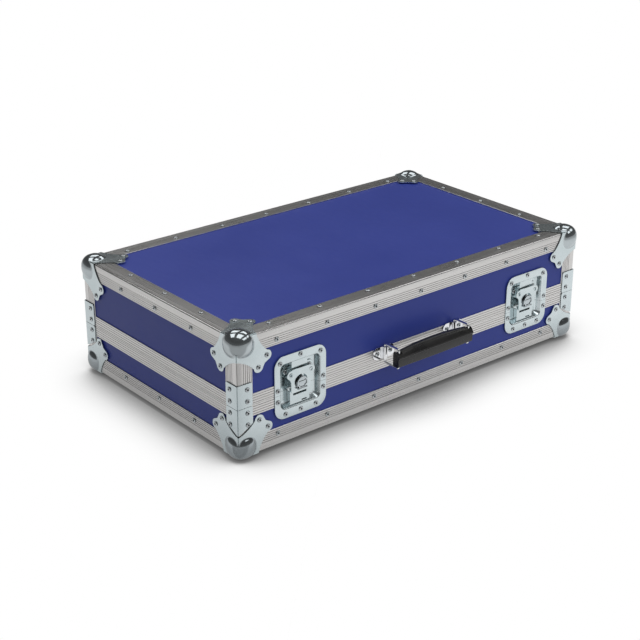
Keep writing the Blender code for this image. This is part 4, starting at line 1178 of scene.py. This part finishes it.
def make_hinge(finishes):
    """Long hinge across the back: two leaves, seven knuckles and the pin."""
    place = moved(face_frame("back"), second=seam_height)
    section = turned_axes(place, (2, 1, 0))
    pin_line = moved(section, first=0.0040)
    length = 2 * hinge_half / knuckle_count
    for level, direction in (("base", -1), ("lid", 1)):
        shape = bmesh.new()
        leaf = rectangle(seat_gap, leaf_front, *sorted((direction * leaf_near, direction * leaf_far)))
        neck = rectangle(seat_gap, leaf_front, *sorted((0.0, direction * 0.0038)))
        add_prism(shape, leaf, -hinge_half, hinge_half, section)
        for index in range(0 if direction < 0 else 1, knuckle_count, 2):
            low = index * length - hinge_half + 0.0002
            high = low + length - 0.0004
            add_prism(shape, neck, low, high, section)
            knuckle = [(0.0030, low), (0.0033, low + 0.0003), (0.0033, high - 0.0003), (0.0030, high)]
            add_turned(shape, knuckle, 32, pin_line)
        make_piece(f"hinge_{level}_strip", shape, level, finishes["steel"], replaces=(f"hinge_{level}_leaf",))
        height = direction * (leaf_near + leaf_far) / 2
        spots = [(place, index * 0.140, height, leaf_front) for index in range(-2, 3)]
        make_rivets(f"hinge_{level}_rivets", level, finishes["rivet"], spots)
    rod = [(0.0008, -hinge_half), (0.0015, -hinge_half + 0.0004), (0.0015, hinge_half - 0.0004),
           (0.0008, hinge_half)]
    make_piece("hinge_rod", turned_shape(rod, 20, pin_line), "base", finishes["steel"],
               replaces=("hinge_pin",))


def make_lining(finishes):
    """Foam pads of the base and of the lid: one on the sheet and four round it, with soft edges."""
    outer = 0.0126
    pad = 0.020
    half = case_length / 2 - outer
    width = case_width / 2 - outer
    sheet_level = panel_inner + seat_gap
    for level, depth in (("base", seam_base - 0.002), ("lid", case_height - seam_lid - 0.002)):
        face = face_frame("bottom" if level == "base" else "top")
        upright = (-depth, -sheet_level - pad)
        pads = {
            "sheet": ((-half, half), (-width, width), (-sheet_level - pad, -sheet_level)),
            "front": ((-half, half), (-width, pad - width), upright),
            "back": ((-half, half), (width - pad, width), upright),
            "left": ((-half, pad - half), (pad - width, width - pad), upright),
            "right": ((half - pad, half), (pad - width, width - pad), upright),
        }
        for side, limits in pads.items():
            item = make_piece(f"{level}_{side}_pad", box_shape(face, *limits), level, finishes["foam"],
                              (f"{level}_foam_liner",), bevel=0.0025, segments=4, smooth=60)


# Studio


def make_floor(right, ahead):
    """White floor with a painted shadow of the case, and a painted reflection for metal: pale near the case
    and dark further off.
    """
    shape = bmesh.new()
    shape.faces.new([shape.verts.new((x, y, -0.0002)) for x, y in rectangle(-30.0, 30.0, -30.0, 30.0)])
    floor = add_object("studio_floor", mesh_of(shape))
    material = bpy.data.materials.new("studio_floor")
    tree = Tree(material)
    tree.nodes.clear()

    def diffuse(level):
        return tree.add("BsdfDiffuse", {"Color": (level, level, level, 1.0)}).outputs["BSDF"]

    def rising(value, low, high):
        return tree.ranged(value, low, high, interpolation_type="SMOOTHSTEP")

    # Painted reflection of a dark room, where metal sees it: before the near corner, and far from the case's
    # footprint
    place = tree.add("TexCoord").outputs["Object"]
    apart = tree.vector_maths("SUBTRACT", place, Vector((-case_length / 2, front_plane, 0.0)))
    before = rising(tree.vector_maths("DOT_PRODUCT", apart, -ahead), 0.08, 0.20)
    heading = tree.vector_maths("NORMALIZE", apart)
    facing = rising(tree.vector_maths("DOT_PRODUCT", heading, -ahead), 0.12, 0.42)
    beyond = tree.vector_maths("SUBTRACT", place, Vector((0.0, case_shift, 0.0)))
    beyond = tree.vector_maths("ABSOLUTE", beyond)
    beyond = tree.vector_maths("SUBTRACT", beyond, Vector((case_length, case_width, 2.0)) / 2)
    reach = tree.vector_maths("LENGTH", tree.vector_maths("MAXIMUM", beyond, Vector((0.0, 0.0, 0.0))))
    dark = tree.maths("MAXIMUM", tree.maths("MAXIMUM", before, facing), rising(reach, 0.45, 0.95))

    # Painted reflection near the case: a glowing floor with painted shade, paler with the distance from the
    # case, and from left to right
    painted_contact_shade = tree.ranged(reach, 0.0, 0.10, 0.45, 0.86)
    sideways = tree.ranged(tree.vector_maths("DOT_PRODUCT", place, right), -0.55, 0.10, 0.74, 1.0)
    painted_glow = tree.add("Emission", {"Strength": tree.maths("MULTIPLY", painted_contact_shade, sideways)}).outputs["Emission"]
    painted_reflection = tree.chosen(dark, tree.chosen(0.65, diffuse(1.0), painted_glow), diffuse(0.55))

    # What the camera sees: painted shadow, a glowing white darkened by how much of the sky the case hides
    open_share = tree.add("AmbientOcclusion", {"Distance": 0.13}, samples=48).outputs["AO"]
    painted_shadow = tree.ramp(open_share, ((0.0, 0.05), (0.45, 0.20), (0.572, 0.42), (0.65, 0.61), (0.70, 0.72),
                                       (0.75, 0.83), (0.84, 0.94), (0.93, 0.995), (1.0, 1.0)))
    seen = tree.add("Emission", {"Color": painted_shadow}).outputs["Emission"]
    path = tree.add("LightPath").outputs
    unseen = tree.chosen(path["Is Glossy Ray"], diffuse(0.50), painted_reflection)
    tree.add("OutputMaterial", {"Surface": tree.chosen(path["Is Camera Ray"], unseen, seen)})
    floor.data.materials.append(material)


def make_camera():
    """Camera at the photograph's place and angle."""
    camera = bpy.data.cameras.new("camera")
    camera.sensor_width = 36.0
    camera.lens = 80.03
    camera.clip_start = 0.05
    camera.clip_end = 100.0
    holder = add_object("camera", camera)
    tilt = math.radians(23.67)
    level_back = Vector((math.sin(camera_turn), -math.cos(camera_turn), 0.0))
    back = level_back * math.cos(tilt) + Vector((0.0, 0.0, math.sin(tilt)))
    holder.location = (-1.53165, -1.79243, 1.10362)
    holder.rotation_mode = "QUATERNION"
    holder.rotation_quaternion = (-back).to_track_quat("-Z", "Y")
    bpy.context.scene.camera = holder


def make_lamps(right, ahead):
    """Two rows of three large soft boxes overhead."""
    spots = ((-1.66, 0.26), (0.45, -0.46), (2.75, -1.05), (-0.90, 2.50), (1.15, 1.85), (3.30, 0.90))
    for index, (across, along) in enumerate(spots):
        lamp = bpy.data.lights.new("softbox", "AREA")
        lamp.shape = "RECTANGLE"
        lamp.size = 1.5
        lamp.size_y = 1.6
        lamp.energy = 11.5
        item = add_object(f"softbox_{index}", lamp)
        item.location = right * across + ahead * along + Vector((0, 0, 2.4))
        item.rotation_euler = (0.0, 0.0, camera_turn - 0.3)


def make_world(right):
    """White to the camera, a soft fill that is fuller from the right, and a dark room in metal."""
    world = bpy.data.worlds.new("studio")
    bpy.context.scene.world = world
    tree = Tree(world)
    tree.nodes.clear()

    def background(colour):
        return tree.add("Background", {"Color": colour}).outputs["Background"]

    place = tree.add("TexCoord").outputs["Generated"]
    height = tree.add("SeparateXYZ", {"Vector": place}).outputs["Z"]
    room = background(tree.ramp(height, ((0.0, 0.18), (0.05, 0.15), (0.16, 0.11), (0.5, 0.08), (1.0, 0.12))))
    sideways = tree.vector_maths("DOT_PRODUCT", place, right)
    fill = background(tree.ranged(sideways, -1.0, 1.0, 0.16, 0.94))
    path = tree.add("LightPath").outputs
    unseen = tree.chosen(path["Is Glossy Ray"], fill, room)
    shown = tree.chosen(path["Is Camera Ray"], unseen, background((1.0, 1.0, 1.0, 1.0)))
    tree.add("OutputWorld", {"Surface": shown})


def make_studio():
    """Floor, camera, lamps and surrounding light."""
    right = Vector((math.cos(camera_turn), math.sin(camera_turn), 0.0))
    ahead = Vector((-math.sin(camera_turn), math.cos(camera_turn), 0.0))
    make_floor(right, ahead)
    make_camera()
    make_lamps(right, ahead)
    make_world(right)
    bpy.context.scene.view_settings.view_transform = "Standard"


def build_scene():
    """Dress the whole case and light it."""
    finishes = make_finishes()
    dress_panels(finishes["laminate"][0])
    make_edges(finishes)
    make_rims(finishes)
    make_ball_corners(finishes)
    make_braces(finishes)
    make_latches(finishes)
    make_handle(finishes)
    make_hinge(finishes)
    make_lining(finishes)
    make_studio()


build_scene()
